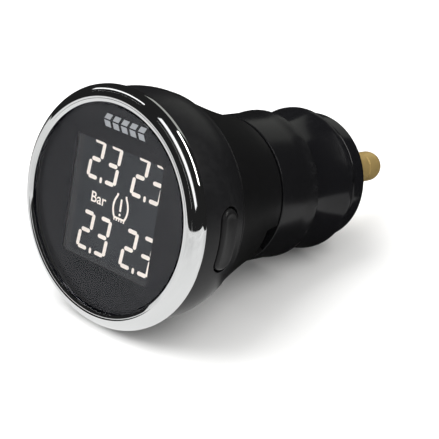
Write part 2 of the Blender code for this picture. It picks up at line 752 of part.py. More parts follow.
# ---- plug ----
def plug_barrel():
    """The barrel, with a sleeve into the neck, a latch tab, a slot for the side contact and a spigot."""
    rear_radius = BARREL_REAR_DIAMETER / 2
    rounding = 1.5 * CHAMFER
    flare_rear = barrel_rear - 4 * CHAMFER
    outline = [(sleeve_outer, sleeve_front), (sleeve_outer, barrel_front)]
    outline += [(plug_radius - CHAMFER, barrel_front), (plug_radius, barrel_front + CHAMFER)]
    outline += [(plug_radius, flare_rear - BARREL_FLARE_LENGTH), (rear_radius, flare_rear)]
    outline += arc(rear_radius - rounding, barrel_rear - rounding, rounding, 0, 90, 3)
    outline += [(spigot_radius, barrel_rear), (spigot_radius, spigot_rear - 2 * CHAMFER)]
    outline += [(spigot_radius - 2 * CHAMFER, spigot_rear), (core_bore, spigot_rear)]
    outline += [(core_bore, barrel_rear - END_WALL), (barrel_bore, barrel_rear - END_WALL)]
    outline += [(barrel_bore, barrel_front + SLEEVE_WALL), (sleeve_inner, barrel_front + SLEEVE_WALL / 2)]
    outline += [(sleeve_inner, sleeve_front)]
    barrel = turned("plug_barrel", outline, gloss_black)
    clear = math.degrees(GAP / plug_radius)
    tab = sector("latch_tab", sleeve_inner + GAP, plug_radius - LATCH_SINK, GAP - NOTCH_LENGTH, -GAP,
                 NOTCH_START - clear, NOTCH_END + clear, gloss_black)
    cut(barrel, tab, "UNION")
    half = CONTACT_WIDTH / 2 + SLIDE_GAP
    low = (-plug_radius - 2 * OVERCUT, contact_low - SLIDE_GAP, -half)
    high = (-barrel_bore + 1.4 * OVERCUT, contact_high + SLIDE_GAP, half)
    cut(barrel, block("contact_slot", low, high, gloss_black))
    return barrel


def nose_cap():
    """The cap that screws onto the spigot: waist, flare, rim, groove, lip, cone and boss."""
    waist = NOSE_WAIST_DIAMETER / 2
    rim = NOSE_RIM_DIAMETER / 2
    groove = NOSE_GROOVE_DIAMETER / 2
    flare_front = nose_front + NOSE_WAIST_LENGTH
    flare_rear = nose_rear - NOSE_RIM_SET_BACK
    outline = [(waist - CHAMFER, nose_front), (waist, nose_front + CHAMFER), (waist, flare_front)]
    rows = 5
    for i in range(1, rows + 1):
        share = i / rows
        radius = waist + (rim - waist) * share ** NOSE_FLARE_CURVE
        outline.append((radius, flare_front + (flare_rear - flare_front) * share))
    outline += arc(rim - NOSE_RIM_ROUND, flare_rear + GAP, NOSE_RIM_ROUND, 0, 80, 3)
    groove_front = flare_rear + NOSE_GROOVE_OFFSET
    groove_rear = groove_front + NOSE_GROOVE_WIDTH
    outline += [(groove, groove_front), (groove, groove_rear)]
    outline += arc(lip_radius - NOSE_LIP_ROUND, groove_rear + NOSE_LIP_ROUND + CHAMFER, NOSE_LIP_ROUND, -70, 0, 3)
    outline += [(lip_radius, lip_rear - CHAMFER), (lip_radius - CHAMFER, lip_rear + CHAMFER)]
    outline += [(boss_radius, cone_rear), (boss_radius, nose_rear - CHAMFER)]
    outline += [(boss_radius - CHAMFER, nose_rear), (pin_hole, nose_rear)]
    bore = spigot_radius + GAP
    bore_end = spigot_rear + GAP
    outline += [(pin_hole, shoulder), (chamber, shoulder), (chamber, bore_end + WALL)]
    outline += [(bore - WALL, bore_end), (bore, bore_end), (bore, nose_front)]
    return turned("nose_cap", outline, gloss_black)


def contact_pin():
    """A pin with a domed tip, a flange that keeps it in and a cup for the fuse's end."""
    outline = [(0.0, cup_bottom), (holder_inner, cup_bottom), (holder_inner, cup_front)]
    outline += [(holder_outer, cup_front), (holder_outer, flange_front), (flange_radius, flange_front)]
    outline += [(flange_radius, flange_rear), (pin_radius, flange_rear)]
    outline += arc(0.0, pin_tip - pin_radius, pin_radius, 0, 90, 5)[:-1]
    outline += [(0.0, pin_tip)]
    return turned("contact_pin", outline, brass, 2 * SMALL_STEPS, closed=False)


def pin_washer():
    return ring("pin_washer", pin_hole, chamber - GAP, washer_front, washer_rear, fibre_red, 2 * SMALL_STEPS)


def fuse():
    """A glass tube with a wire through it and a metal cap on each end."""
    end_room = FUSE_CAP_WALL + GAP
    low = fuse_front + end_room
    high = fuse_rear - end_room
    glass_radius = fuse_radius - end_room
    ring("fuse_tube", glass_radius - FUSE_TUBE_WALL, glass_radius, low, high, fuse_glass, SMALL_STEPS)
    cylinder("fuse_wire", FUSE_WIRE_DIAMETER / 2, low, high, tin, 8)
    inner = fuse_radius - FUSE_CAP_WALL
    bottom = fuse_rear - FUSE_CAP_WALL
    end = fuse_rear - FUSE_CAP_LENGTH
    outline = [(0.0, bottom), (inner, bottom), (inner, end), (fuse_radius, end), (fuse_radius, fuse_rear)]
    turned("fuse_cap_rear", outline + [(0.0, fuse_rear)], tin, SMALL_STEPS, closed=False)
    bottom = fuse_front + FUSE_CAP_WALL
    end = fuse_front + FUSE_CAP_LENGTH
    outline = [(0.0, fuse_front), (fuse_radius, fuse_front), (fuse_radius, end), (inner, end), (inner, bottom)]
    turned("fuse_cap_front", outline + [(0.0, bottom)], tin, SMALL_STEPS, closed=False)


def contact_spring():
    radius = fuse_radius - SPRING_WIRE / 2
    coil = helix(radius, spring_front + SPRING_WIRE / 2, spring_rear - SPRING_WIRE / 2, SPRING_TURNS, 10)
    return tube_along("contact_spring", [(x, along, z) for along, x, z in coil], SPRING_WIRE, spring_steel)


def fuse_holder():
    """A tube for the fuse and the spring, with a flange against the barrel's end wall."""
    flange = sleeve_inner - HOLDER_FLANGE_PLAY
    flange_back = barrel_rear - END_WALL - GAP
    flange_start = flange_back - HOLDER_FLANGE_THICK
    end = cup_front - PIN_TRAVEL - GAP
    outline = [(holder_outer, holder_front), (holder_outer, flange_start), (flange, flange_start)]
    outline += [(flange, flange_back), (holder_outer, flange_back), (holder_outer, end)]
    outline += [(holder_inner, end), (holder_inner, holder_front)]
    return turned("fuse_holder", outline, holder_nylon, 2 * SMALL_STEPS)


def power_terminal():
    """The disc that the spring stands on, with a tail for the lead."""
    radius = holder_inner - GAP
    tail = TERMINAL_TAIL_DIAMETER / 2
    outline = [(0.0, tail_front), (tail, tail_front), (tail, terminal_front), (radius, terminal_front)]
    outline += [(radius, terminal_rear), (0.0, terminal_rear)]
    return turned("power_terminal", outline, tin, SMALL_STEPS, closed=False)


def ground_contact(rows=10):
    """A bowed strip on the side of the barrel that presses on the socket's wall."""
    crown = plug_radius + CONTACT_PROUD
    ends = plug_radius - CONTACT_SINK
    half = CONTACT_WIDTH / 2
    mesh = bpy.data.meshes.new("ground_contact")
    shape = bmesh.new()
    edge = []
    for i in range(rows + 1):
        share = i / rows
        x = -ends - (crown - ends) * math.sin(math.pi * share) ** CONTACT_CURVE
        edge.append(shape.verts.new((x, contact_low + CONTACT_LENGTH * share, -half)))
    edges = [shape.edges.new((edge[i], edge[i + 1])) for i in range(rows)]
    swept = bmesh.ops.extrude_edge_only(shape, edges=edges)
    moved = [v for v in swept["geom"] if isinstance(v, bmesh.types.BMVert)]
    bmesh.ops.translate(shape, vec=(0.0, 0.0, CONTACT_WIDTH), verts=moved)
    bmesh.ops.recalc_face_normals(shape, faces=shape.faces)
    shape.to_mesh(mesh)
    shape.free()
    strip = add("ground_contact", mesh, spring_steel)
    wall = strip.modifiers.new("thickness", "SOLIDIFY")
    wall.thickness = CONTACT_THICK
    wall.offset = -1.0
    return strip


def leads():
    """The two leads between the plug and the board, whose routes were chosen by hand."""
    solder = tail_front - GAP
    points = [(0.0, solder, 0.0), (0.0, solder - 0.0008, 0.0), (-0.0006, (solder + parts_front) / 2, 0.0006),
              (-0.0008, parts_front + 0.0012, 0.0002), (-0.0008, parts_front, 0.0002)]
    tube_along("power_lead", smooth_route(points), LEAD_DIAMETER, lead_red)
    side = (sleeve_inner + holder_outer) / 2
    inner = barrel_bore - CONTACT_TRAVEL - 0.0012
    points = [(-inner, contact_low + 0.0018, 0.0), (-side - 0.0004, contact_low, 0.0),
              (-side, sleeve_front + 0.0008, 0.0), (-side + 0.0002, sleeve_front - 0.0016, 0.0004),
              (-0.0042, solder - 0.0004, 0.0), (-0.0034, parts_front + 0.0016, -0.0008),
              (-0.0030, parts_front, -0.0010)]
    tube_along("ground_lead", smooth_route(points), LEAD_DIAMETER, lead_black)


# ---- build ----
chrome_bezel()
window_lens()
display_mask()
window_gasket()
lcd_frame()
lcd_stack()
main_board()
board_screw("board_screw_top", screw_height)
board_screw("board_screw_bottom", -screw_height)
board_parts()
antenna_coil()
side_switch()
head_casing()
side_button()
rear_cover()
plug_barrel()
nose_cap()
contact_pin()
pin_washer()
fuse()
contact_spring()
fuse_holder()
power_terminal()
ground_contact()
leads()
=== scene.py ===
import math
import bmesh
import bpy
from mathutils import Matrix, Vector


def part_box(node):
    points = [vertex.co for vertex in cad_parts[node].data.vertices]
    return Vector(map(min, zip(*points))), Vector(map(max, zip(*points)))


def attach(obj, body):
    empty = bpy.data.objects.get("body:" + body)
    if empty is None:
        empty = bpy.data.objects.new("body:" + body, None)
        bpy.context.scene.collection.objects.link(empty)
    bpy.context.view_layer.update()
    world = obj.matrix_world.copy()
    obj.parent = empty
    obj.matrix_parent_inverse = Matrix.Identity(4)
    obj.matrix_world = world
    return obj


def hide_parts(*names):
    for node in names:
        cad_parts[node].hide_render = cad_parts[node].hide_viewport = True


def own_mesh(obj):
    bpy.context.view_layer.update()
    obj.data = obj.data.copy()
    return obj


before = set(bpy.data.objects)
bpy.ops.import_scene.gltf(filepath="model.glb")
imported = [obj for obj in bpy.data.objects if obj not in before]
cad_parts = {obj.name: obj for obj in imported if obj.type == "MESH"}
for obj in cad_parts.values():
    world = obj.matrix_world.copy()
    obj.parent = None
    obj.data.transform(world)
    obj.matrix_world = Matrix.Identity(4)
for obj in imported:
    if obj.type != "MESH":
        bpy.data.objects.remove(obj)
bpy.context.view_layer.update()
print("frame loaded")

gap = 0.0003            # clearance between the part's pieces
skin = 0.00002          # a print or a lit segment stands this far off the sheet behind it
axisSteps = 160         # facets round the large turned pieces


# shaping helpers
def station(node, end):
    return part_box(node)[end].y


def reach(node):
    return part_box(node)[1].z


def shade(piece, angle=32.0):
    piece.data.shade_smooth()
    piece.data.set_sharp_from_angle(angle=math.radians(angle))
    return piece


def newPiece(name, mesh, finish=None):
    piece = bpy.data.objects.new(name, mesh)
    bpy.context.scene.collection.objects.link(piece)
    if finish:
        mesh.materials.clear()
        mesh.materials.append(finish)
    return piece


def meshFrom(name, shape):
    bmesh.ops.recalc_face_normals(shape, faces=shape.faces)
    mesh = bpy.data.meshes.new(name)
    shape.to_mesh(mesh)
    shape.free()
    return mesh


def freeze(piece):
    # the evaluated mesh takes the place of the modifiers
    graph = bpy.context.evaluated_depsgraph_get()
    graph.update()
    made = bpy.data.meshes.new_from_object(piece.evaluated_get(graph))
    piece.modifiers.clear()
    piece.data = made
    return piece


def rounded(points, closed=True, facets=5):
    # points are (radius, station) or (radius, station, rounding)
    count = len(points)
    line = []
    for i, point in enumerate(points):
        corner = Vector(point[:2])
        size = point[2] if len(point) > 2 else 0.0
        if size <= 0 or (not closed and i in (0, count - 1)):
            line.append(tuple(corner))
            continue
        before = Vector(points[i - 1][:2]) - corner
        after = Vector(points[(i + 1) % count][:2]) - corner
        reachIn = min(size, before.length * 0.48, after.length * 0.48)
        start = corner + before.normalized() * reachIn
        end = corner + after.normalized() * reachIn
        for k in range(facets + 1):
            t = k / facets
            bend = start * (1 - t) ** 2 + corner * 2 * t * (1 - t) + end * t ** 2
            line.append(tuple(bend))
    return line


def lathe(name, points, steps=axisSteps, closed=True, x=0.0, z=0.0, facets=5):
    # turned about an axis along Y; an open outline starts and ends on the axis
    line = rounded(points, closed, facets)
    shape = bmesh.new()
    rings = []
    for radius, along in line:
        if radius < 1e-7:
            rings.append([shape.verts.new((x, along, z))])
            continue
        ring = []
        for i in range(steps):
            turn = 2 * math.pi * i / steps
            ring.append(shape.verts.new((x + radius * math.cos(turn), along, z + radius * math.sin(turn))))
        rings.append(ring)
    pairs = list(zip(rings, rings[1:]))
    if closed:
        pairs.append((rings[-1], rings[0]))
    for one, two in pairs:
        for i in range(steps):
            j = (i + 1) % steps
            if len(one) == 1 and len(two) == 1:
                continue
            if len(one) == 1:
                shape.faces.new((one[0], two[i], two[j]))
            elif len(two) == 1:
                shape.faces.new((one[i], one[j], two[0]))
            else:
                shape.faces.new((one[i], one[j], two[j], two[i]))
    bmesh.ops.remove_doubles(shape, verts=shape.verts, dist=1e-7)
    return newPiece(name, meshFrom(name, shape))


def prism(name, outline, move):
    # a flat outline of 3D points swept along a vector
    shape = bmesh.new()
    face = shape.faces.new([shape.verts.new(point) for point in outline])
    swept = bmesh.ops.extrude_face_region(shape, geom=[face])
    moved = [v for v in swept["geom"] if isinstance(v, bmesh.types.BMVert)]
    bmesh.ops.translate(shape, vec=move, verts=moved)
    return newPiece(name, meshFrom(name, shape))


def roundedSlab(name, low, high, corner, facets=6):
    # a plate facing along Y, with rounded upright corners
    outline = []
    for sideX, sideZ, start in ((1, 1, 0), (-1, 1, 90), (-1, -1, 180), (1, -1, 270)):
        centreX = (high[0] if sideX > 0 else low[0]) - sideX * corner
        centreZ = (high[2] if sideZ > 0 else low[2]) - sideZ * corner
        for k in range(facets + 1):
            turn = math.radians(start + 90 * k / facets)
            outline.append((centreX + corner * math.cos(turn), low[1], centreZ + corner * math.sin(turn)))
    return prism(name, outline, (0, high[1] - low[1], 0))


def capsule(centre, width, length, facets=8):
    # outline of a bar with round ends, upright, in the XZ plane
    radius = width / 2
    half = max(length / 2 - radius, 0.0)
    outline = []
    for side in (1, -1):
        for k in range(facets + 1):
            turn = math.pi * k / facets + (0 if side > 0 else math.pi)
            across = centre[0] + radius * math.cos(turn)
            outline.append((across, centre[1] + side * half + radius * math.sin(turn)))
    return outline


def slotBar(name, xLow, xHigh, length, width, centreY, facets=14):
    outline = [(xLow, centreY + across, up) for across, up in capsule((0, 0), width, length, facets)]
    return prism(name, outline, (xHigh - xLow, 0, 0))


def sector(name, inner, outer, low, high, start, end, facets=10):
    turns = [math.radians(start + (end - start) * k / facets) for k in range(facets + 1)]
    outline = [(inner * math.cos(t), low, inner * math.sin(t)) for t in turns]
    outline += [(outer * math.cos(t), low, outer * math.sin(t)) for t in reversed(turns)]
    return prism(name, outline, (0, high - low, 0))


def carve(piece, tool, how="DIFFERENCE"):
    change = piece.modifiers.new("carve", "BOOLEAN")
    change.operation = how
    change.solver = "EXACT"
    change.object = tool
    freeze(piece)
    bpy.data.objects.remove(tool)
    return piece


def soften(piece, width, angle=38.0, segments=2):
    bevel = piece.modifiers.new("soften", "BEVEL")
    bevel.width = width
    bevel.segments = segments
    bevel.limit_method = "ANGLE"
    bevel.angle_limit = math.radians(angle)
    bevel.use_clamp_overlap = True
    return freeze(piece)


def fit(piece, body, nodes, finish):
    # gives a finished piece its material, its body and the nodes it stands for
    piece.data.materials.clear()
    piece.data.materials.append(finish)
    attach(piece, body)
    if nodes:
        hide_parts(*nodes)
    return piece


# shader helpers
def addNode(tree, kind, x, y, **settings):
    made = tree.nodes.new(kind)
    made.location = (x, y)
    for key, value in settings.items():
        setattr(made, key, value)
    return made


def mathNode(tree, operation, x, y, first, second, clamp=False):
    made = addNode(tree, "ShaderNodeMath", x, y, operation=operation, use_clamp=clamp)
    for socket, value in zip(made.inputs, (first, second)):
        if isinstance(value, (int, float)):
            socket.default_value = value
        else:
            tree.links.new(value, socket)
    return made.outputs[0]


def rangeNode(tree, x, y, value, fromLow, fromHigh, toLow, toHigh):
    made = addNode(tree, "ShaderNodeMapRange", x, y, interpolation_type="SMOOTHSTEP")
    tree.links.new(value, made.inputs["Value"])
    for name, given in (("From Min", fromLow), ("From Max", fromHigh), ("To Min", toLow), ("To Max", toHigh)):
        if isinstance(given, (int, float)):
            made.inputs[name].default_value = given
        else:
            tree.links.new(given, made.inputs[name])
    return made.outputs["Result"]


def noiseNode(tree, x, y, vector, scale, detail=3.0, roughness=0.55):
    made = addNode(tree, "ShaderNodeTexNoise", x, y)
    tree.links.new(vector, made.inputs["Vector"])
    if isinstance(scale, (int, float)):
        made.inputs["Scale"].default_value = scale
    else:
        tree.links.new(scale, made.inputs["Scale"])
    made.inputs["Detail"].default_value = detail
    made.inputs["Roughness"].default_value = roughness
    return made.outputs["Fac"]


def startGroup(name, inputs, outputs):
    tree = bpy.data.node_groups.new(name, "ShaderNodeTree")
    for label, kind, value in inputs:
        socket = tree.interface.new_socket(name=label, in_out="INPUT", socket_type=kind)
        if value is not None:
            socket.default_value = value
    for label, kind in outputs:
        tree.interface.new_socket(name=label, in_out="OUTPUT", socket_type=kind)
    entry = addNode(tree, "NodeGroupInput", -900, 0)
    leave = addNode(tree, "NodeGroupOutput", 700, 0)
    return tree, entry, leave


def colourDriftGroup():
    # slow variation of a base colour over the surface
    tree, entry, leave = startGroup(
        "colour drift",
        [("Vector", "NodeSocketVector", None), ("Colour", "NodeSocketColor", (0.5, 0.5, 0.5, 1)),
         ("Size", "NodeSocketFloat", 200.0), ("Spread", "NodeSocketFloat", 0.1)],
        [("Colour", "NodeSocketColor")])
    cloud = noiseNode(tree, -650, 100, entry.outputs["Vector"], entry.outputs["Size"], 4.0)
    centred = mathNode(tree, "SUBTRACT", -450, 100, cloud, 0.5)
    scaled = mathNode(tree, "MULTIPLY", -250, 100, centred, entry.outputs["Spread"])
    factor = mathNode(tree, "MULTIPLY_ADD", -50, 100, scaled, 2.0)
    factor.node.inputs[2].default_value = 1.0
    tint = addNode(tree, "ShaderNodeVectorMath", 200, 50, operation="SCALE")
    tree.links.new(entry.outputs["Colour"], tint.inputs[0])
    tree.links.new(factor, tint.inputs["Scale"])
    tree.links.new(tint.outputs[0], leave.inputs["Colour"])
    return tree


def surfaceGrainGroup():
    # fine texture for the bump, and patchy roughness
    tree, entry, leave = startGroup(
        "surface grain",
        [("Vector", "NodeSocketVector", None), ("Size", "NodeSocketFloat", 6000.0),
         ("Roughness", "NodeSocketFloat", 0.4), ("Spread", "NodeSocketFloat", 0.05)],
        [("Roughness", "NodeSocketFloat"), ("Height", "NodeSocketFloat")])
    fine = noiseNode(tree, -600, -150, entry.outputs["Vector"], entry.outputs["Size"], 2.0)
    broadSize = mathNode(tree, "DIVIDE", -750, 150, entry.outputs["Size"], 22.0)
    broad = noiseNode(tree, -550, 150, entry.outputs["Vector"], broadSize, 5.0, 0.6)
    centred = mathNode(tree, "SUBTRACT", -350, 150, broad, 0.5)
    spread = mathNode(tree, "MULTIPLY", -150, 150, centred, entry.outputs["Spread"])
    doubled = mathNode(tree, "MULTIPLY", 50, 150, spread, 2.0)
    total = mathNode(tree, "ADD", 250, 150, doubled, entry.outputs["Roughness"], True)
    tree.links.new(total, leave.inputs["Roughness"])
    tree.links.new(fine, leave.inputs["Height"])
    return tree


def handlingGroup():
    # faint streaks left by fingers and by sliding in and out
    tree, entry, leave = startGroup(
        "handling marks",
        [("Vector", "NodeSocketVector", None), ("Size", "NodeSocketFloat", 300.0),
         ("Amount", "NodeSocketFloat", 0.3)],
        [("Mask", "NodeSocketFloat")])
    stretch = addNode(tree, "ShaderNodeMapping", -700, 0)
    stretch.inputs["Scale"].default_value = (3.0, 0.35, 3.0)
    stretch.inputs["Rotation"].default_value = (0.3, 0.2, 0.5)
    tree.links.new(entry.outputs["Vector"], stretch.inputs["Vector"])
    streak = noiseNode(tree, -450, 80, stretch.outputs[0], entry.outputs["Size"], 6.0, 0.7)
    patch = noiseNode(tree, -450, -120, entry.outputs["Vector"], mathNode(tree, "DIVIDE", -650, -200,
                      entry.outputs["Size"], 4.0), 2.0)
    streaks = rangeNode(tree, -200, 80, streak, 0.52, 0.72, 0.0, 1.0)
    patches = rangeNode(tree, -200, -120, patch, 0.42, 0.62, 0.0, 1.0)
    both = mathNode(tree, "MULTIPLY", 50, 0, streaks, patches)
    mask = mathNode(tree, "MULTIPLY", 250, 0, both, entry.outputs["Amount"], True)
    tree.links.new(mask, leave.inputs["Mask"])
    return tree


def rimWearGroup():
    # ragged rubbing where a turned piece is widest
    tree, entry, leave = startGroup(
        "rim wear",
        [("Vector", "NodeSocketVector", None), ("Radius", "NodeSocketFloat", 0.01),
         ("Width", "NodeSocketFloat", 0.0003), ("Amount", "NodeSocketFloat", 0.5)],
        [("Mask", "NodeSocketFloat")])
    parts = addNode(tree, "ShaderNodeSeparateXYZ", -700, 100)
    tree.links.new(entry.outputs["Vector"], parts.inputs[0])
    flat = addNode(tree, "ShaderNodeCombineXYZ", -520, 100)
    tree.links.new(parts.outputs["X"], flat.inputs["X"])
    tree.links.new(parts.outputs["Z"], flat.inputs["Z"])
    length = addNode(tree, "ShaderNodeVectorMath", -340, 100, operation="LENGTH")
    tree.links.new(flat.outputs[0], length.inputs[0])
    start = mathNode(tree, "SUBTRACT", -340, -60, entry.outputs["Radius"], entry.outputs["Width"])
    near = rangeNode(tree, -120, 100, length.outputs["Value"], start, entry.outputs["Radius"], 0.0, 1.0)
    patches = noiseNode(tree, -340, -220, entry.outputs["Vector"], 900.0, 6.0, 0.7)
    ragged = rangeNode(tree, -120, -120, patches, 0.40, 0.70, 0.0, 1.0)
    both = mathNode(tree, "MULTIPLY", 120, 0, near, ragged)
    mask = mathNode(tree, "MULTIPLY", 320, 0, both, entry.outputs["Amount"], True)
    tree.links.new(mask, leave.inputs["Mask"])
    return tree


colourDrift = colourDriftGroup()
surfaceGrain = surfaceGrainGroup()
handlingMarks = handlingGroup()
rimWear = rimWearGroup()


def placeGroup(tree, group, x, y, vector, **values):
    made = addNode(tree, "ShaderNodeGroup", x, y, node_tree=group)
    tree.links.new(vector, made.inputs["Vector"])
    for label, value in values.items():
        made.inputs[label].default_value = value
    return made


def finishFor(name, settings):
    # one material: drifting colour, handling marks, rim wear, patchy roughness and a fine bump
    made = bpy.data.materials.new(name)
    made.use_nodes = True
    tree = made.node_tree
    shader = tree.nodes["Principled BSDF"]
    shader.inputs["Metallic"].default_value = settings.get("metallic", 0.0)
    shader.inputs["IOR"].default_value = settings.get("ior", 1.5)
    shader.inputs["Specular IOR Level"].default_value = settings.get("specular", 0.5)
    place = addNode(tree, "ShaderNodeTexCoord", -1500, 0).outputs["Object"]
    colour = placeGroup(tree, colourDrift, -1200, 300, place, Colour=(*settings["colour"], 1),
                        Size=settings.get("cloud", 220.0), Spread=settings.get("drift", 0.1)).outputs[0]
    marks = placeGroup(tree, handlingMarks, -1200, 0, place, Size=settings.get("streak", 260.0),
                       Amount=settings.get("marks", 0.2)).outputs[0]
    rub = marks
    if "rim" in settings:
        worn = placeGroup(tree, rimWear, -1200, -200, place, Radius=settings["rim"],
                          Width=settings.get("rimWidth", 0.0004),
                          Amount=settings.get("wear", 0.35)).outputs[0]
        rub = mathNode(tree, "MAXIMUM", -1000, -100, marks, worn)
    blend = addNode(tree, "ShaderNodeMix", -800, 250, data_type="RGBA")
    tree.links.new(rub, blend.inputs["Factor"])
    tree.links.new(colour, blend.inputs[6])
    paler = [min(1.0, c * 1.6 + 0.01) for c in settings["colour"]]
    blend.inputs[7].default_value = (*settings.get("worn", paler), 1)
    tree.links.new(blend.outputs[2], shader.inputs["Base Color"])
    grain = placeGroup(tree, surfaceGrain, -1200, -450, place, Size=settings.get("grain", 9000.0),
                       Roughness=settings["roughness"], Spread=settings.get("patch", 0.05))
    rougher = mathNode(tree, "MULTIPLY_ADD", -500, -250, rub, settings.get("rubRoughness", 0.12))
    tree.links.new(grain.outputs["Roughness"], rougher.node.inputs[2])
    tree.links.new(rougher, shader.inputs["Roughness"])
    bump = addNode(tree, "ShaderNodeBump", -300, -450)
    bump.inputs["Strength"].default_value = settings.get("bump", 0.1)
    bump.inputs["Distance"].default_value = settings.get("depth", 0.00002)
    tree.links.new(grain.outputs["Height"], bump.inputs["Height"])
    tree.links.new(bump.outputs[0], shader.inputs["Normal"])
    return made


def ringedFinish(name, settings, pitch):
    # lathe rings about the plug's axis, on top of the usual finish
    made = finishFor(name, settings)
    tree = made.node_tree
    bump = next(n for n in tree.nodes if n.bl_idname == "ShaderNodeBump")
    place = next(n for n in tree.nodes if n.bl_idname == "ShaderNodeTexCoord").outputs["Object"]
    wave = addNode(tree, "ShaderNodeTexWave", -1000, -750, wave_type="BANDS", bands_direction="Y")
    wave.inputs["Scale"].default_value = 0.314 / pitch
    wave.inputs["Distortion"].default_value = 1.5
    wave.inputs["Detail"].default_value = 3.0
    tree.links.new(place, wave.inputs["Vector"])
    old = bump.inputs["Height"].links[0].from_socket
    total = mathNode(tree, "MULTIPLY_ADD", -500, -650, wave.outputs["Fac"], 0.6)
    tree.links.new(old, total.node.inputs[2])
    tree.links.new(total, bump.inputs["Height"])
    return made


# finishes
finishSettings = {
    "casing plastic": {"colour": (0.0080, 0.0080, 0.0088), "roughness": 0.34, "specular": 0.26,
                       "grain": 7000.0, "bump": 0.22, "depth": 0.00003, "drift": 0.12, "marks": 0.25,
                       "rim": 0.0157, "wear": 0.25,
                       "rimWidth": 0.0006, "patch": 0.05},
    "button plastic": {"colour": (0.0085, 0.0085, 0.0090), "roughness": 0.34, "specular": 0.28,
                       "grain": 7000.0, "bump": 0.18, "depth": 0.00003, "marks": 0.4},
    "neck plastic": {"colour": (0.0062, 0.0062, 0.0066), "roughness": 0.34, "specular": 0.22,
                     "grain": 6000.0, "bump": 0.08,
                     "marks": 0.10, "streak": 180.0, "rim": 0.01445, "wear": 0.2},
    "barrel plastic": {"colour": (0.0055, 0.0055, 0.0062), "roughness": 0.25, "specular": 0.34,
                       "grain": 5200.0, "bump": 0.06,
                       "marks": 0.12, "streak": 170.0, "rim": 0.01065, "wear": 0.3, "rimWidth": 0.00020},
    "nose plastic": {"colour": (0.0055, 0.0055, 0.0064), "roughness": 0.17, "specular": 0.36,
                     "grain": 5200.0, "bump": 0.05,
                     "marks": 0.12, "streak": 200.0, "rim": 0.01045, "wear": 0.3, "rimWidth": 0.0002},
    "bright chrome": {"colour": (0.86, 0.87, 0.875), "metallic": 1.0, "roughness": 0.045, "grain": 1800.0,
                      "bump": 0.015, "drift": 0.03, "marks": 0.25, "worn": (0.74, 0.74, 0.73), "patch": 0.02,
                      "rubRoughness": 0.08},
    "mask print": {"colour": (0.006, 0.006, 0.007), "roughness": 0.6, "specular": 0.02, "bump": 0.04,
                   "drift": 0.06, "marks": 0.1},
    "mask mark": {"colour": (0.36, 0.37, 0.38), "roughness": 0.55, "bump": 0.1, "drift": 0.08, "marks": 0.3,
                  "worn": (0.26, 0.27, 0.28)},
    "gasket rubber": {"colour": (0.018, 0.018, 0.018), "roughness": 0.8, "grain": 5000.0, "bump": 0.4},
    "frame plastic": {"colour": (0.56, 0.56, 0.53), "roughness": 0.5, "bump": 0.15,
                      "worn": (0.44, 0.43, 0.40)},
    "guide acrylic": {"colour": (0.80, 0.80, 0.78), "roughness": 0.35, "bump": 0.1,
                      "worn": (0.68, 0.68, 0.66)},
    "chip epoxy": {"colour": (0.018, 0.018, 0.020), "roughness": 0.55, "grain": 9000.0, "bump": 0.35},
    "tinned metal": {"colour": (0.62, 0.61, 0.58), "metallic": 1.0, "roughness": 0.30, "bump": 0.12,
                     "worn": (0.45, 0.44, 0.42), "marks": 0.5},
    "spring steel": {"colour": (0.52, 0.52, 0.53), "metallic": 1.0, "roughness": 0.26, "bump": 0.1,
                     "worn": (0.36, 0.34, 0.32), "marks": 0.5},
    "coil copper": {"colour": (0.72, 0.36, 0.20), "metallic": 1.0, "roughness": 0.25, "bump": 0.05,
                    "worn": (0.48, 0.22, 0.12)},
    "washer fibre": {"colour": (0.33, 0.055, 0.035), "roughness": 0.75, "grain": 5000.0, "bump": 0.4},
    "holder nylon": {"colour": (0.56, 0.54, 0.47), "roughness": 0.45, "bump": 0.12,
                     "worn": (0.48, 0.45, 0.37)},
    "red insulation": {"colour": (0.42, 0.018, 0.016), "roughness": 0.42, "bump": 0.12},
    "black insulation": {"colour": (0.016, 0.016, 0.017), "roughness": 0.42, "bump": 0.12},
}
finishes = {name: finishFor(name, settings) for name, settings in finishSettings.items()}
finishes["turned brass"] = ringedFinish("turned brass", {
    "colour": (0.66, 0.47, 0.18), "metallic": 0.7, "roughness": 0.42, "bump": 0.2, "depth": 0.00002,
    "marks": 0.6, "worn": (0.24, 0.16, 0.075), "drift": 0.2, "cloud": 500.0}, 0.00022)


def lensFinish():
    made = bpy.data.materials.new("smoked lens")
    made.use_nodes = True
    tree = made.node_tree
    shader = tree.nodes["Principled BSDF"]
    shader.inputs["Transmission Weight"].default_value = 1.0
    shader.inputs["IOR"].default_value = 1.49
    shader.inputs["Specular Tint"].default_value = (0.12, 0.12, 0.13, 1)    # coated against reflections
    place = addNode(tree, "ShaderNodeTexCoord", -1300, 0).outputs["Object"]
    tint = placeGroup(tree, colourDrift, -900, 250, place, Colour=(0.80, 0.81, 0.83, 1), Size=90.0,
                      Spread=0.02)
    tree.links.new(tint.outputs[0], shader.inputs["Base Color"])
    smear = placeGroup(tree, handlingMarks, -900, 0, place, Size=120.0, Amount=0.5)
    level = mathNode(tree, "MULTIPLY", -500, 0, smear.outputs[0], 0.02)
    tree.links.new(level, shader.inputs["Roughness"])
    grain = placeGroup(tree, surfaceGrain, -900, -250, place, Size=900.0, Roughness=0.0, Spread=0.0)
    bump = addNode(tree, "ShaderNodeBump", -400, -250)
    bump.inputs["Strength"].default_value = 0.002
    bump.inputs["Distance"].default_value = 0.00001
    tree.links.new(grain.outputs["Height"], bump.inputs["Height"])
    tree.links.new(bump.outputs[0], shader.inputs["Normal"])
    return made


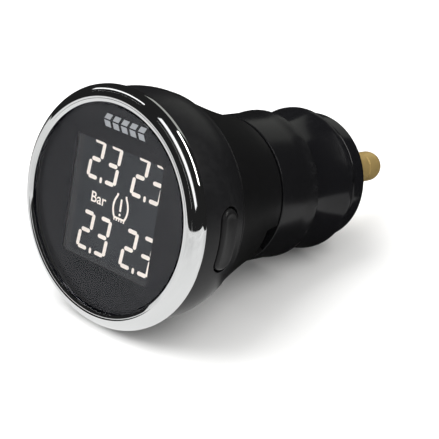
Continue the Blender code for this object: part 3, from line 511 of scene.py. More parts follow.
def fuseGlassFinish():
    made = bpy.data.materials.new("fuse glass")
    made.use_nodes = True
    tree = made.node_tree
    shader = tree.nodes["Principled BSDF"]
    shader.inputs["Transmission Weight"].default_value = 1.0
    shader.inputs["IOR"].default_value = 1.45
    place = addNode(tree, "ShaderNodeTexCoord", -1300, 0).outputs["Object"]
    tint = placeGroup(tree, colourDrift, -900, 250, place, Colour=(0.92, 0.95, 0.95, 1), Size=300.0,
                      Spread=0.03)
    tree.links.new(tint.outputs[0], shader.inputs["Base Color"])
    grain = placeGroup(tree, surfaceGrain, -900, -100, place, Size=2500.0, Roughness=0.05, Spread=0.04)
    tree.links.new(grain.outputs["Roughness"], shader.inputs["Roughness"])
    bump = addNode(tree, "ShaderNodeBump", -400, -250)
    bump.inputs["Strength"].default_value = 0.05
    bump.inputs["Distance"].default_value = 0.00001
    tree.links.new(grain.outputs["Height"], bump.inputs["Height"])
    tree.links.new(bump.outputs[0], shader.inputs["Normal"])
    return made


def displayFinish(border, halfWidth, halfHeight, lift):
    # slate glass with a faint cell texture, greyer in the border outside the active area
    made = finishFor("display glass", {"colour": (0.008, 0.008, 0.009), "roughness": 0.28, "bump": 0.03,
                                       "specular": 0.05, "marks": 0.05})
    tree = made.node_tree
    shader = tree.nodes["Principled BSDF"]
    place = next(n for n in tree.nodes if n.bl_idname == "ShaderNodeTexCoord").outputs["Object"]
    parts = addNode(tree, "ShaderNodeSeparateXYZ", -1200, -900)
    tree.links.new(place, parts.inputs[0])
    aside = mathNode(tree, "ABSOLUTE", -1000, -850, parts.outputs["X"], 0.0)
    lifted = mathNode(tree, "SUBTRACT", -1000, -1000, parts.outputs["Z"], lift)
    upright = mathNode(tree, "ABSOLUTE", -850, -1000, lifted, 0.0)
    pastX = rangeNode(tree, -700, -850, aside, halfWidth - border, halfWidth - border + 0.00012, 0.0, 1.0)
    pastZ = rangeNode(tree, -700, -1000, upright, halfHeight - border, halfHeight - border + 0.00012,
                      0.0, 1.0)
    edge = mathNode(tree, "MAXIMUM", -500, -900, pastX, pastZ)
    cloud = noiseNode(tree, -700, -1200, place, 260.0, 3.0)
    glow = rangeNode(tree, -500, -1200, cloud, 0.3, 0.7, 0.92, 1.08)
    field = addNode(tree, "ShaderNodeMix", -300, -900, data_type="RGBA")
    tree.links.new(edge, field.inputs["Factor"])
    field.inputs[6].default_value = (0.027, 0.030, 0.034, 1)
    field.inputs[7].default_value = (0.043, 0.043, 0.045, 1)
    scaled = addNode(tree, "ShaderNodeVectorMath", -100, -900, operation="SCALE")
    tree.links.new(field.outputs[2], scaled.inputs[0])
    tree.links.new(glow, scaled.inputs["Scale"])
    tree.links.new(scaled.outputs[0], shader.inputs["Emission Color"])
    shader.inputs["Emission Strength"].default_value = 1.0
    return made


def litFinish(name, colour, strength):
    # lit liquid-crystal segment: even glow with a slight unevenness from the lamp behind it
    made = finishFor(name, {"colour": (0.5, 0.47, 0.43), "roughness": 0.4, "bump": 0.02, "marks": 0.05})
    tree = made.node_tree
    shader = tree.nodes["Principled BSDF"]
    place = next(n for n in tree.nodes if n.bl_idname == "ShaderNodeTexCoord").outputs["Object"]
    glow = placeGroup(tree, colourDrift, -1200, -900, place, Colour=(*colour, 1), Size=330.0, Spread=0.12)
    tree.links.new(glow.outputs[0], shader.inputs["Emission Color"])
    shader.inputs["Emission Strength"].default_value = strength
    return made


def paintedGlow(made, colour):
    # painted light: a glow on a printed sheet behind the lens, standing in for the lamp light that the lens
    # keeps from it
    tree = made.node_tree
    shader = tree.nodes["Principled BSDF"]
    place = next(n for n in tree.nodes if n.bl_idname == "ShaderNodeTexCoord").outputs["Object"]
    glow = placeGroup(tree, colourDrift, -1200, -900, place, Colour=(*colour, 1), Size=240.0, Spread=0.08)
    tree.links.new(glow.outputs[0], shader.inputs["Emission Color"])
    shader.inputs["Emission Strength"].default_value = 1.0
    return made


def boardFinish():
    # green solder mask with copper tracks showing through as paler lines
    made = finishFor("circuit board", {"colour": (0.012, 0.105, 0.042), "roughness": 0.38, "bump": 0.1,
                                       "marks": 0.15, "worn": (0.03, 0.17, 0.08)})
    tree = made.node_tree
    shader = tree.nodes["Principled BSDF"]
    place = next(n for n in tree.nodes if n.bl_idname == "ShaderNodeTexCoord").outputs["Object"]
    turn = addNode(tree, "ShaderNodeMapping", -1200, -900)
    turn.inputs["Rotation"].default_value = (math.pi / 2, 0, 0)
    tree.links.new(place, turn.inputs["Vector"])
    tracks = addNode(tree, "ShaderNodeTexBrick", -1000, -900)
    tree.links.new(turn.outputs[0], tracks.inputs["Vector"])
    tracks.inputs["Scale"].default_value = 520.0
    tracks.inputs["Mortar Size"].default_value = 0.05
    tracks.inputs["Color1"].default_value = (0, 0, 0, 1)
    tracks.inputs["Color2"].default_value = (0, 0, 0, 1)
    tracks.inputs["Mortar"].default_value = (1, 1, 1, 1)
    old = shader.inputs["Base Color"].links[0].from_socket
    blend = addNode(tree, "ShaderNodeMix", -300, 300, data_type="RGBA")
    tree.links.new(tracks.outputs["Color"], blend.inputs["Factor"])
    tree.links.new(old, blend.inputs[6])
    blend.inputs[7].default_value = (0.05, 0.24, 0.09, 1)
    tree.links.new(blend.outputs[2], shader.inputs["Base Color"])
    return made


finishes["smoked lens"] = lensFinish()
finishes["fuse glass"] = fuseGlassFinish()
finishes["circuit board"] = boardFinish()
# painted light: the glows on the mask print and the mask mark stand in for the lamp light that the lens keeps
# from them
finishes["mask print"] = paintedGlow(finishes["mask print"], (0.0040, 0.0042, 0.0060))
finishes["mask mark"] = paintedGlow(finishes["mask mark"], (0.28, 0.285, 0.29))
finishes["lit segment"] = litFinish("lit segment", (1.0, 0.90, 0.80), 0.92)
print("finishes ready")

# head
windowPlane = station("head_casing", 0)
lensFront = station("window_lens", 0)
lensBack = station("window_lens", 1)
lensRadius = reach("window_lens")

bezelShape = {"lip": 0.0140, "crest": 0.0007, "shoulder": 0.0010, "fullness": 1.35, "bore": 0.0154,
              "groove": 0.00010}


def makeBezel():
    # quarter-round ring that falls gently inwards from its crest to the lip
    b = bezelShape
    outer = reach("chrome_bezel")
    front = station("chrome_bezel", 0)
    rear = station("chrome_bezel", 1)
    seat = windowPlane - gap
    crest = b["lip"] + b["crest"]
    rise = windowPlane + b["shoulder"] - front
    groove = b["lip"] + b["crest"] * 0.70
    points = [(b["lip"], seat, 0.00004), (b["lip"], seat - 0.00008, 0.00005),
              (groove - b["groove"] * 0.6, front + 0.00007, 0.00007), (groove, front + b["groove"], 0.00003)]
    rows = 36
    for i in range(rows + 1):
        turn = math.pi / 2 * (1 - i / rows)
        radius = crest + (outer - crest) * abs(math.cos(turn)) ** b["fullness"]
        points.append((radius, windowPlane + b["shoulder"] - rise * math.sin(turn) ** b["fullness"]))
    points += [(outer, rear - 0.0002), (outer - 0.00004, rear, 0.00012), (b["bore"], rear, 0.0001)]
    points += [(b["bore"], seat, 0.0001)]
    ring = shade(lathe("chromeBezel", points, 220), 40)
    return fit(ring, "monitor", ["chrome_bezel"], finishes["bright chrome"])


def makeLens():
    # clear disc whose middle stands a little proud of its clamped rim
    step = bezelShape["lip"] - gap
    edge = 0.0002
    points = [(0, lensFront), (step, lensFront, 0.00012), (step, windowPlane, 0.00005),
              (lensRadius, windowPlane, edge), (lensRadius, lensBack, edge), (0, lensBack)]
    lens = shade(lathe("windowLens", points, 200, closed=False))
    return fit(lens, "monitor", ["window_lens"], finishes["smoked lens"])


displayShape = {"width": 0.0160, "height": 0.0163, "lift": -0.0002, "aside": -0.00020, "corner": 0.0005,
                "activeHalf": 0.00775}


def makeMask():
    d = displayShape
    front = station("display_mask", 0)
    back = station("display_mask", 1)
    radius = reach("display_mask")
    points = [(0, front), (radius, front, 0.00005), (radius, back, 0.00005), (0, back)]
    sheet = lathe("displayMask", points, 160, closed=False)
    low = (d["aside"] - d["width"] / 2, front - 0.001, d["lift"] - d["height"] / 2)
    high = (d["aside"] + d["width"] / 2, back + 0.001, d["lift"] + d["height"] / 2)
    carve(sheet, roundedSlab("maskOpening", low, high, d["corner"]))
    shade(soften(sheet, 0.00003))
    return fit(sheet, "monitor", ["display_mask"], finishes["mask print"])


def makeDisplay():
    d = displayShape
    low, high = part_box("lcd_panel")
    glass = roundedSlab("displayGlass", low, high, 0.0003)
    shade(soften(glass, 0.00006))
    border = high.x - d["activeHalf"]
    finish = displayFinish(border, high.x, (high.z - low.z) / 2, d["lift"])
    return fit(glass, "monitor", ["lcd_panel"], finish)


# what the display shows
digitShape = {"width": 0.00240, "height": 0.00550, "stroke": 0.00056, "space": 0.00013, "pitch": 0.0031,
              "slant": 0.095, "dot": 0.00042}
numberPlaces = [(-0.00675, 0.0021), (0.0013, 0.0021), (-0.00685, -0.0077), (0.0012, -0.0077)]
segmentsOf = {"2": "abged", "3": "abgcd"}


def addFlat(shape, outline, low, high):
    # a thin plate from an outline of (x, z) points
    front = [shape.verts.new((x, low, z)) for x, z in outline]
    back = [shape.verts.new((x, high, z)) for x, z in outline]
    shape.faces.new(front)
    shape.faces.new(list(reversed(back)))
    count = len(outline)
    for i in range(count):
        j = (i + 1) % count
        shape.faces.new((front[i], back[i], back[j], front[j]))


def segmentOutline(letter):
    # one bar of a seven-segment figure with blunt pointed ends
    s = digitShape
    w, h, t = s["width"], s["height"], s["stroke"]
    half = h / 2
    upright = letter in "bcef"
    length = (half if upright else w) - t / 2 - s["space"] * 2 - (0 if upright else t / 2)
    middle = {"a": (w / 2, h - t / 2), "g": (w / 2, half), "d": (w / 2, t / 2),
              "b": (w - t / 2, half * 1.5), "c": (w - t / 2, half * 0.5),
              "f": (t / 2, half * 1.5), "e": (t / 2, half * 0.5)}[letter]
    outline = capsule((0, 0), t, length, 5)
    if not upright:
        outline = [(z, -x) for x, z in outline]
    return [(middle[0] + x, middle[1] + z) for x, z in outline]


def makeDigits():
    s = digitShape
    front = station("lcd_panel", 0) - skin * 1.5
    back = station("lcd_panel", 0) - skin * 0.5
    shape = bmesh.new()
    for left, bottom in numberPlaces:
        for i, figure in enumerate("23"):
            for letter in segmentsOf[figure]:
                outline = segmentOutline(letter)
                placed = [(left + i * s["pitch"] + x + z * s["slant"], bottom + z) for x, z in outline]
                addFlat(shape, placed, front, back)
        dot = capsule((left + s["pitch"] - (s["pitch"] - s["width"]) / 2, bottom + s["dot"] * 0.55),
                      s["dot"], s["dot"] * 1.9, 6)
        addFlat(shape, dot, front, back)
    digits = shade(newPiece("litDigits", meshFrom("litDigits", shape)))
    return fit(digits, "monitor", [], finishes["lit segment"])


def ribbon(shape, line, width, low, high):
    # a stroke of even width along a row of (x, z) points
    left, right = [], []
    for i, (x, z) in enumerate(line):
        ahead = line[min(i + 1, len(line) - 1)]
        behind = line[max(i - 1, 0)]
        along = Vector((ahead[0] - behind[0], ahead[1] - behind[1])).normalized()
        left.append((x - along.y * width / 2, z + along.x * width / 2))
        right.append((x + along.y * width / 2, z - along.x * width / 2))
    addFlat(shape, left + list(reversed(right)), low, high)


warningShape = {"x": 0.0002, "z": -0.0001, "width": 0.0029, "height": 0.0037, "stroke": 0.00030, "teeth": 5}


def makeWarning():
    # tyre warning lamp: an open horseshoe with a treaded foot round an exclamation mark
    w = warningShape
    front = station("lcd_panel", 0) - skin * 1.5
    back = station("lcd_panel", 0) - skin * 0.5
    shape = bmesh.new()
    halfW, halfH = w["width"] / 2, w["height"] / 2
    for side in (1, -1):
        line = []
        for k in range(15):
            t = k / 14
            bulge = math.sin(math.pi * min(t * 1.12, 1.0)) ** 0.75
            x = halfW * (0.60 + 0.34 * bulge) - 0.0001 * t
            z = -halfH * 0.80 + w["height"] * 0.88 * t
            line.append((w["x"] + side * x, w["z"] + z))
        if side < 0:
            line.reverse()
        ribbon(shape, line, w["stroke"], front, back)
    foot = -halfH * 0.80
    ribbon(shape, [(w["x"] - halfW * 0.70, w["z"] + foot), (w["x"] + halfW * 0.70, w["z"] + foot)],
           w["stroke"] * 0.9, front - skin * 0.2, back + skin * 0.2)
    for k in range(w["teeth"]):
        x = w["x"] + halfW * 1.2 * (k / (w["teeth"] - 1) - 0.5)
        ribbon(shape, [(x, w["z"] + foot - 0.00008), (x, w["z"] + foot - 0.00040)], 0.00020,
               front - skin * 0.1, back + skin * 0.1)
    ribbon(shape, [(w["x"], w["z"] + halfH * 0.62), (w["x"], w["z"] - halfH * 0.28)], 0.00032, front, back)
    addFlat(shape, capsule((w["x"], w["z"] - halfH * 0.52), 0.00036, 0.00036, 8), front, back)
    lamp = shade(newPiece("warningLamp", meshFrom("warningLamp", shape)))
    return fit(lamp, "monitor", [], finishes["lit segment"])


def makeUnit():
    # the unit's name beside the warning lamp
    words = {"x": -0.00535, "z": -0.00085, "size": 0.00205}
    letters = bpy.data.curves.new("unitText", "FONT")
    letters.body = "Bar"
    letters.size = words["size"]
    letters.offset = 0.00002
    letters.extrude = skin / 2
    holder = bpy.data.objects.new("unitHolder", letters)
    bpy.context.scene.collection.objects.link(holder)
    graph = bpy.context.evaluated_depsgraph_get()
    mesh = bpy.data.meshes.new_from_object(holder.evaluated_get(graph))
    bpy.data.objects.remove(holder)
    place = Matrix.Translation((words["x"], station("lcd_panel", 0) - skin, words["z"]))
    mesh.transform(place @ Matrix.Rotation(math.pi / 2, 4, "X"))
    unit = shade(newPiece("unitName", mesh))
    return fit(unit, "monitor", [], finishes["lit segment"])


# Geometry Nodes helpers
def startGeometry(name, inputs):
    tree = bpy.data.node_groups.new(name, "GeometryNodeTree")
    tree.interface.new_socket(name="Geometry", in_out="INPUT", socket_type="NodeSocketGeometry")
    for label, kind, value in inputs:
        socket = tree.interface.new_socket(name=label, in_out="INPUT", socket_type=kind)
        if value is not None:
            socket.default_value = value
    tree.interface.new_socket(name="Geometry", in_out="OUTPUT", socket_type="NodeSocketGeometry")
    return tree, addNode(tree, "NodeGroupInput", -1200, 0), addNode(tree, "NodeGroupOutput", 1200, 0)


def endGeometry(tree, leave, geometry, finish):
    real = addNode(tree, "GeometryNodeRealizeInstances", 800, 0)
    paint = addNode(tree, "GeometryNodeSetMaterial", 1000, 0)
    paint.inputs["Material"].default_value = finish
    tree.links.new(geometry, real.inputs[0])
    tree.links.new(real.outputs[0], paint.inputs["Geometry"])
    tree.links.new(paint.outputs[0], leave.inputs[0])


def growPiece(name, tree, values):
    # runs a node tree on an empty mesh and keeps the result as a plain mesh
    piece = newPiece(name, bpy.data.meshes.new(name))
    change = piece.modifiers.new(name, "NODES")
    change.node_group = tree
    for item in tree.interface.items_tree:
        if item.item_type == "SOCKET" and item.in_out == "INPUT" and item.name in values:
            change[item.identifier] = values[item.name]
    return freeze(piece)


def treadMarkTree(finish):
    # a row of slanted tyre-tread blocks with a groove between upper and lower halves
    tree, entry, leave = startGeometry("tread mark", [
        ("Count", "NodeSocketInt", 4), ("Pitch", "NodeSocketFloat", 0.002),
        ("Width", "NodeSocketFloat", 0.001), ("Height", "NodeSocketFloat", 0.001),
        ("Slant", "NodeSocketFloat", 0.3), ("Depth", "NodeSocketFloat", skin)])
    size = addNode(tree, "ShaderNodeCombineXYZ", -950, 200)
    half = mathNode(tree, "MULTIPLY", -1100, 100, entry.outputs["Height"], 0.44)
    tree.links.new(entry.outputs["Width"], size.inputs[0])
    tree.links.new(entry.outputs["Depth"], size.inputs[1])
    tree.links.new(half, size.inputs[2])
    blockMesh = addNode(tree, "GeometryNodeMeshCube", -750, 200)
    tree.links.new(size.outputs[0], blockMesh.inputs["Size"])
    position = addNode(tree, "GeometryNodeInputPosition", -950, -100)
    parts = addNode(tree, "ShaderNodeSeparateXYZ", -800, -100)
    tree.links.new(position.outputs[0], parts.inputs[0])
    halves = []
    for side in (1, -1):
        lean = mathNode(tree, "MULTIPLY", -650, -100 * side, parts.outputs["Z"], entry.outputs["Slant"])
        signed = mathNode(tree, "MULTIPLY", -500, -100 * side, lean, float(side))
        move = addNode(tree, "ShaderNodeCombineXYZ", -350, -100 * side)
        lift = mathNode(tree, "MULTIPLY", -500, -220 * side, entry.outputs["Height"], 0.28 * side)
        offset = mathNode(tree, "MULTIPLY", -500, -320 * side, lift, entry.outputs["Slant"])
        offsetSigned = mathNode(tree, "MULTIPLY", -350, -320 * side, offset, float(side))
        total = mathNode(tree, "ADD", -200, -320 * side, signed, offsetSigned)
        tree.links.new(total, move.inputs[0])
        tree.links.new(lift, move.inputs[2])
        moved = addNode(tree, "GeometryNodeSetPosition", -100, 200 * side)
        tree.links.new(blockMesh.outputs["Mesh"], moved.inputs["Geometry"])
        tree.links.new(move.outputs[0], moved.inputs["Offset"])
        halves.append(moved.outputs[0])
    join = addNode(tree, "GeometryNodeJoinGeometry", 100, 100)
    for part in halves:
        tree.links.new(part, join.inputs[0])
    line = addNode(tree, "GeometryNodeMeshLine", 100, -200)
    tree.links.new(entry.outputs["Count"], line.inputs["Count"])
    step = addNode(tree, "ShaderNodeCombineXYZ", -50, -300)
    tree.links.new(entry.outputs["Pitch"], step.inputs[0])
    tree.links.new(step.outputs[0], line.inputs["Offset"])
    copies = addNode(tree, "GeometryNodeInstanceOnPoints", 400, 0)
    tree.links.new(line.outputs[0], copies.inputs["Points"])
    tree.links.new(join.outputs[0], copies.inputs["Instance"])
    endGeometry(tree, leave, copies.outputs[0], finish)
    return tree


treadShape = {"count": 5, "pitch": 0.00155, "width": 0.00105, "height": 0.0017, "slant": 0.55, "z": 0.01105}


def makeTreadMark():
    t = treadShape
    tree = treadMarkTree(finishes["mask mark"])
    mark = growPiece("treadMark", tree, {"Count": t["count"], "Pitch": t["pitch"], "Width": t["width"],
                                         "Height": t["height"], "Slant": t["slant"], "Depth": skin})
    left = -t["pitch"] * (t["count"] - 1) / 2 - 0.0001
    mark.data.transform(Matrix.Translation((left, station("display_mask", 0) - skin, t["z"])))
    mark.name = "treadMark"
    return fit(mark, "monitor", [], finishes["mask mark"])


makeBezel()
makeLens()
makeMask()
makeDisplay()
makeDigits()
makeWarning()
makeUnit()
makeTreadMark()
print("window and display ready")

# casing, button and neck
casingShape = {"rear": 0.0150, "tuck": 0.0004, "wall": 0.0008, "round": 0.0007, "spigotWall": 0.0005,
               "shelf": 0.0010, "gasket": 0.0009, "depth": 0.0084}


def makeCasing():
    c = casingShape
    widest = reach("head_casing")
    back = station("head_casing", 1)
    front = back - c["depth"]
    spigot = lensRadius + gap
    shelfBack = station("lcd_frame", 0) - gap
    shelfFront = shelfBack - c["shelf"]
    bore = c["rear"] - c["wall"]
    shelfBore = lensRadius - c["gasket"]
    points = [(spigot, windowPlane, 0.00005), (spigot + c["spigotWall"], windowPlane, 0.00005),
              (spigot + c["spigotWall"], front, 0.00005)]
    rows = 26
    for i in range(rows + 1):
        share = i / rows
        radius = widest - (widest - c["rear"]) * max(share * 2 - 1, 0) ** 2
        radius -= c["tuck"] * max(1 - share * 2, 0) ** 2
        along = front + (c["depth"] - c["round"]) * share
        points.append((radius, along, 0.00012 if i == 0 else 0.0))
    for k in range(1, 9):
        turn = math.radians(90 * k / 8)
        points.append((c["rear"] - c["round"] + c["round"] * math.cos(turn),
                       back - c["round"] + c["round"] * math.sin(turn)))
    points += [(bore, back, 0.00015), (bore, shelfBack, 0.0002), (shelfBore, shelfBack, 0.0001),
               (shelfBore, shelfFront, 0.0001), (spigot, shelfFront, 0.0001)]
    casing = lathe("headCasing", points, 192)
    low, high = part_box("side_button")
    hole = slotBar("buttonHole", bore - 0.004, widest + 0.002, buttonShape["length"] + 2 * gap,
                   buttonShape["width"] + 2 * gap, (low.y + high.y) / 2, 20)
    carve(casing, hole)
    shade(soften(casing, 0.00010))
    return fit(casing, "monitor", ["head_casing"], finishes["casing plastic"])


buttonShape = {"length": 0.0084, "width": 0.0030, "flange": 0.0005, "flangeThick": 0.00054,
               "relief": 0.00016, "edge": 0.0005, "dish": 0.00012}


def makeButton():
    # rings of a slot outline, drawn in towards the middle, follow the casing's curve
    b = buttonShape
    low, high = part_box("side_button")
    centreY = (low.y + high.y) / 2
    face = high.x
    inner = math.sqrt(low.x ** 2 + (b["length"] / 2 + b["flange"]) ** 2) + b["relief"]
    flangeOuter = inner + b["flangeThick"]
    straight = (b["length"] - b["width"]) / 2
    rings = []

    def ring(grow, radius):
        # down one long side and up the other, so that points facing each other are at one height
        half = b["width"] / 2 + grow
        turns = [math.pi / 2 * k / 11 for k in range(12)]
        upper = [(half * math.sin(turn), straight + half * math.cos(turn)) for turn in turns]
        middle = [(half, straight * (1 - k / 6)) for k in range(1, 12)]
        side = upper + middle + [(y, -z) for y, z in reversed(upper)]
        outline = side + [(-y, z) for y, z in reversed(side)]
        rings.append([(math.sqrt(radius ** 2 - z ** 2), centreY + y, z) for y, z in outline])

    ring(b["flange"], inner)
    ring(b["flange"], inner + 0.0001)
    ring(b["flange"], flangeOuter - 0.0001)
    ring(b["flange"] - 0.0001, flangeOuter)
    ring(0.0001, flangeOuter)
    ring(0.0, flangeOuter + 0.0001)
    for k in range(9):
        turn = math.radians(90 * k / 8)
        ring(-b["edge"] * (1 - math.cos(turn)), face - b["edge"] * (1 - math.sin(turn)))
    for inset, sink in ((0.00065, 0.00002), (0.0008, 0.00006), (0.0010, 0.00010), (0.00125, b["dish"])):
        ring(-inset, face - sink)
    shape = bmesh.new()
    loops = [[shape.verts.new(point) for point in line] for line in rings]
    count = len(loops[0])
    for one, two in zip(loops, loops[1:]):
        for i in range(count):
            j = (i + 1) % count
            shape.faces.new((one[i], one[j], two[j], two[i]))
    for loop in (loops[0], loops[-1]):
        half = count // 2
        for i in range(half - 1):
            # the two long sides are joined straight across
            shape.faces.new((loop[i], loop[i + 1], loop[count - 2 - i], loop[count - 1 - i]))
    bmesh.ops.remove_doubles(shape, verts=shape.verts, dist=1e-7)
    bmesh.ops.dissolve_degenerate(shape, edges=shape.edges, dist=1e-8)
    button = shade(newPiece("sideButton", meshFrom("sideButton", shape)), 40)
    return fit(button, "button", ["side_button"], finishes["button plastic"])


neckShape = {"flare": 0.0040, "curve": 1.25, "wall": 0.0015, "lip": 0.0009, "windowLength": 0.0028,
             "windowStart": -11.0, "windowEnd": -36.0, "sink": 0.0011, "sleeveWall": 0.0012}
plugRadius = 0.01045
neckFront = -0.0125
sleeveFront = station("plug_barrel", 0)
sleeveOuter = plugRadius - neckShape["wall"] - gap
sleeveInner = sleeveOuter - neckShape["sleeveWall"]


def neckRadius(along):
    share = max(-along, 0.0) / -neckFront
    return plugRadius + neckShape["flare"] * share ** neckShape["curve"]


def makeNeck():
    n = neckShape
    rim = station("rear_cover", 0)
    lipOuter = casingShape["rear"] - casingShape["wall"] - gap
    bore = sleeveOuter + gap
    points = [(neckRadius(neckFront) - 0.0002, neckFront, 0.0001)]
    rows = 30
    for i in range(rows + 1):
        along = neckFront + 0.0002 + (-neckFront - 0.0003) * i / rows
        points.append((neckRadius(along), along, 0.0))
    points += [(plugRadius - 0.00012, 0.0, 0.00008), (bore, 0.0, 0.0001), (bore, sleeveFront - gap, 0.0001)]
    for k in range(9):
        along = sleeveFront - gap - 0.0002 + (neckFront + n["wall"] - sleeveFront + gap + 0.0002) * k / 8
        points.append((max(neckRadius(along) - n["wall"], bore), along))
    points += [(lipOuter - n["lip"], neckFront + n["wall"] / 2, 0.0002), (lipOuter - n["lip"], rim, 0.0002),
               (lipOuter, rim, 0.0002), (lipOuter, neckFront, 0.0001)]
    neck = lathe("neckCover", points, 192)
    carve(neck, sector("latchWindow", bore - 0.001, plugRadius + 0.003, -n["windowLength"], 0.002,
                       n["windowStart"], n["windowEnd"]))
    shade(soften(neck, 0.00007))
    return fit(neck, "monitor", ["rear_cover"], finishes["neck plastic"])


makeCasing()
makeButton()
makeNeck()
print("casing, button and neck ready")

# plug
barrelShape = {"rear": 0.01065, "flare": 0.0014, "endWall": 0.0015, "spigot": 0.0074, "wall": 0.0015,
               "front": 0.0003}
barrelFront = barrelShape["front"]
noseFront = station("nose_cap", 0)
barrelRear = noseFront - gap
spigotRear = station("plug_barrel", 1)
coreBore = reach("fuse_tube") + 0.0005 + 0.0005 + 0.0008 + gap


def makeBarrel():
    b = barrelShape
    n = neckShape
    bore = plugRadius - b["wall"]
    points = [(sleeveOuter, sleeveFront, 0.0002), (sleeveOuter, barrelFront, 0.0001),
              (plugRadius, barrelFront, 0.00018), (plugRadius, barrelRear - 0.0008 - b["flare"], 0.0010),
              (b["rear"], barrelRear - 0.0008, 0.0004), (b["rear"], barrelRear, 0.00032),
              (b["spigot"], barrelRear, 0.0003), (b["spigot"], spigotRear, 0.0004),
              (coreBore, spigotRear, 0.0002), (coreBore, barrelRear - b["endWall"], 0.0002),
              (bore, barrelRear - b["endWall"], 0.0003), (bore, barrelFront + 0.0014, 0.0003),
              (sleeveInner, barrelFront + 0.0008, 0.0003), (sleeveInner, sleeveFront, 0.0002)]
    barrel = lathe("plugBarrel", points, 192, facets=6)
    clear = math.degrees(gap / plugRadius)
    tab = sector("latchTab", sleeveInner + gap, plugRadius - n["sink"], gap - n["windowLength"], -gap,
                 n["windowStart"] - clear, n["windowEnd"] + clear)
    carve(barrel, tab, "UNION")
    low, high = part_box("ground_contact")
    slotLow = (-plugRadius - 0.002, low.y - gap, low.z - gap)
    slotHigh = (-bore + 0.0014, high.y + gap, high.z + gap)
    opening = roundedSlabX("contactSlot", slotLow, slotHigh, 0.0003)
    carve(barrel, opening)
    shade(soften(barrel, 0.00006))
    return fit(barrel, "monitor", ["plug_barrel"], finishes["barrel plastic"])


def roundedSlabX(name, low, high, corner, facets=5):
    # a rounded block that faces along X
    outline = []
    for sideY, sideZ, start in ((1, 1, 0), (-1, 1, 90), (-1, -1, 180), (1, -1, 270)):
        centreY = (high[1] if sideY > 0 else low[1]) - sideY * corner
        centreZ = (high[2] if sideZ > 0 else low[2]) - sideZ * corner
        for k in range(facets + 1):
            turn = math.radians(start + 90 * k / facets)
            outline.append((low[0], centreY + corner * math.cos(turn), centreZ + corner * math.sin(turn)))
    return prism(name, outline, (high[0] - low[0], 0, 0))


def threadTree(finish):
    # a ridge that winds round the spigot
    tree, entry, leave = startGeometry("spigot thread", [
        ("Turns", "NodeSocketFloat", 4.0), ("Radius", "NodeSocketFloat", 0.0074),
        ("Length", "NodeSocketFloat", 0.004), ("Ridge", "NodeSocketFloat", 0.0002)])
    spiral = addNode(tree, "GeometryNodeCurveSpiral", -800, 100)
    spiral.inputs["Resolution"].default_value = 64
    tree.links.new(entry.outputs["Turns"], spiral.inputs["Rotations"])
    tree.links.new(entry.outputs["Radius"], spiral.inputs["Start Radius"])
    tree.links.new(entry.outputs["Radius"], spiral.inputs["End Radius"])
    tree.links.new(entry.outputs["Length"], spiral.inputs["Height"])
    profile = addNode(tree, "GeometryNodeCurvePrimitiveCircle", -800, -150)
    profile.inputs["Resolution"].default_value = 6
    tree.links.new(entry.outputs["Ridge"], profile.inputs["Radius"])
    solid = addNode(tree, "GeometryNodeCurveToMesh", -500, 0)
    solid.inputs["Fill Caps"].default_value = True
    tree.links.new(spiral.outputs[0], solid.inputs["Curve"])
    tree.links.new(profile.outputs[0], solid.inputs["Profile Curve"])
    turn = addNode(tree, "GeometryNodeTransform", -250, 0)
    turn.inputs["Rotation"].default_value = (-math.pi / 2, 0, 0)
    tree.links.new(solid.outputs[0], turn.inputs["Geometry"])
    endGeometry(tree, leave, turn.outputs[0], finish)
    return tree


def makeThread():
    pitch = 0.001
    length = spigotRear - barrelRear - 0.0014
    tree = threadTree(finishes["barrel plastic"])
    sizes = {"Turns": length / pitch, "Radius": barrelShape["spigot"] + 0.00001, "Length": length,
             "Ridge": 0.0002}
    thread = growPiece("spigotThread", tree, sizes)
    thread.data.transform(Matrix.Translation((0, barrelRear + 0.0009, 0)))
    shape = bmesh.new()
    shape.from_mesh(thread.data)
    bmesh.ops.remove_doubles(shape, verts=shape.verts, dist=1e-7)
    bmesh.ops.recalc_face_normals(shape, faces=shape.faces)
    shape.to_mesh(thread.data)
    shape.free()
    shade(thread, 50)
    return fit(thread, "monitor", [], finishes["barrel plastic"])


noseShape = {"waist": 0.0092, "waistLength": 0.0012, "rim": 0.01045, "curve": 1.7, "rimSetBack": 0.0112,
             "rimRound": 0.0004, "groove": 0.00915, "grooveOffset": 0.0011, "grooveWidth": 0.0006,
             "lip": 0.00935, "lipRound": 0.0006, "lipSetBack": 0.0067, "coneAngle": 50.0, "boss": 0.0040,
             "wall": 0.0015}


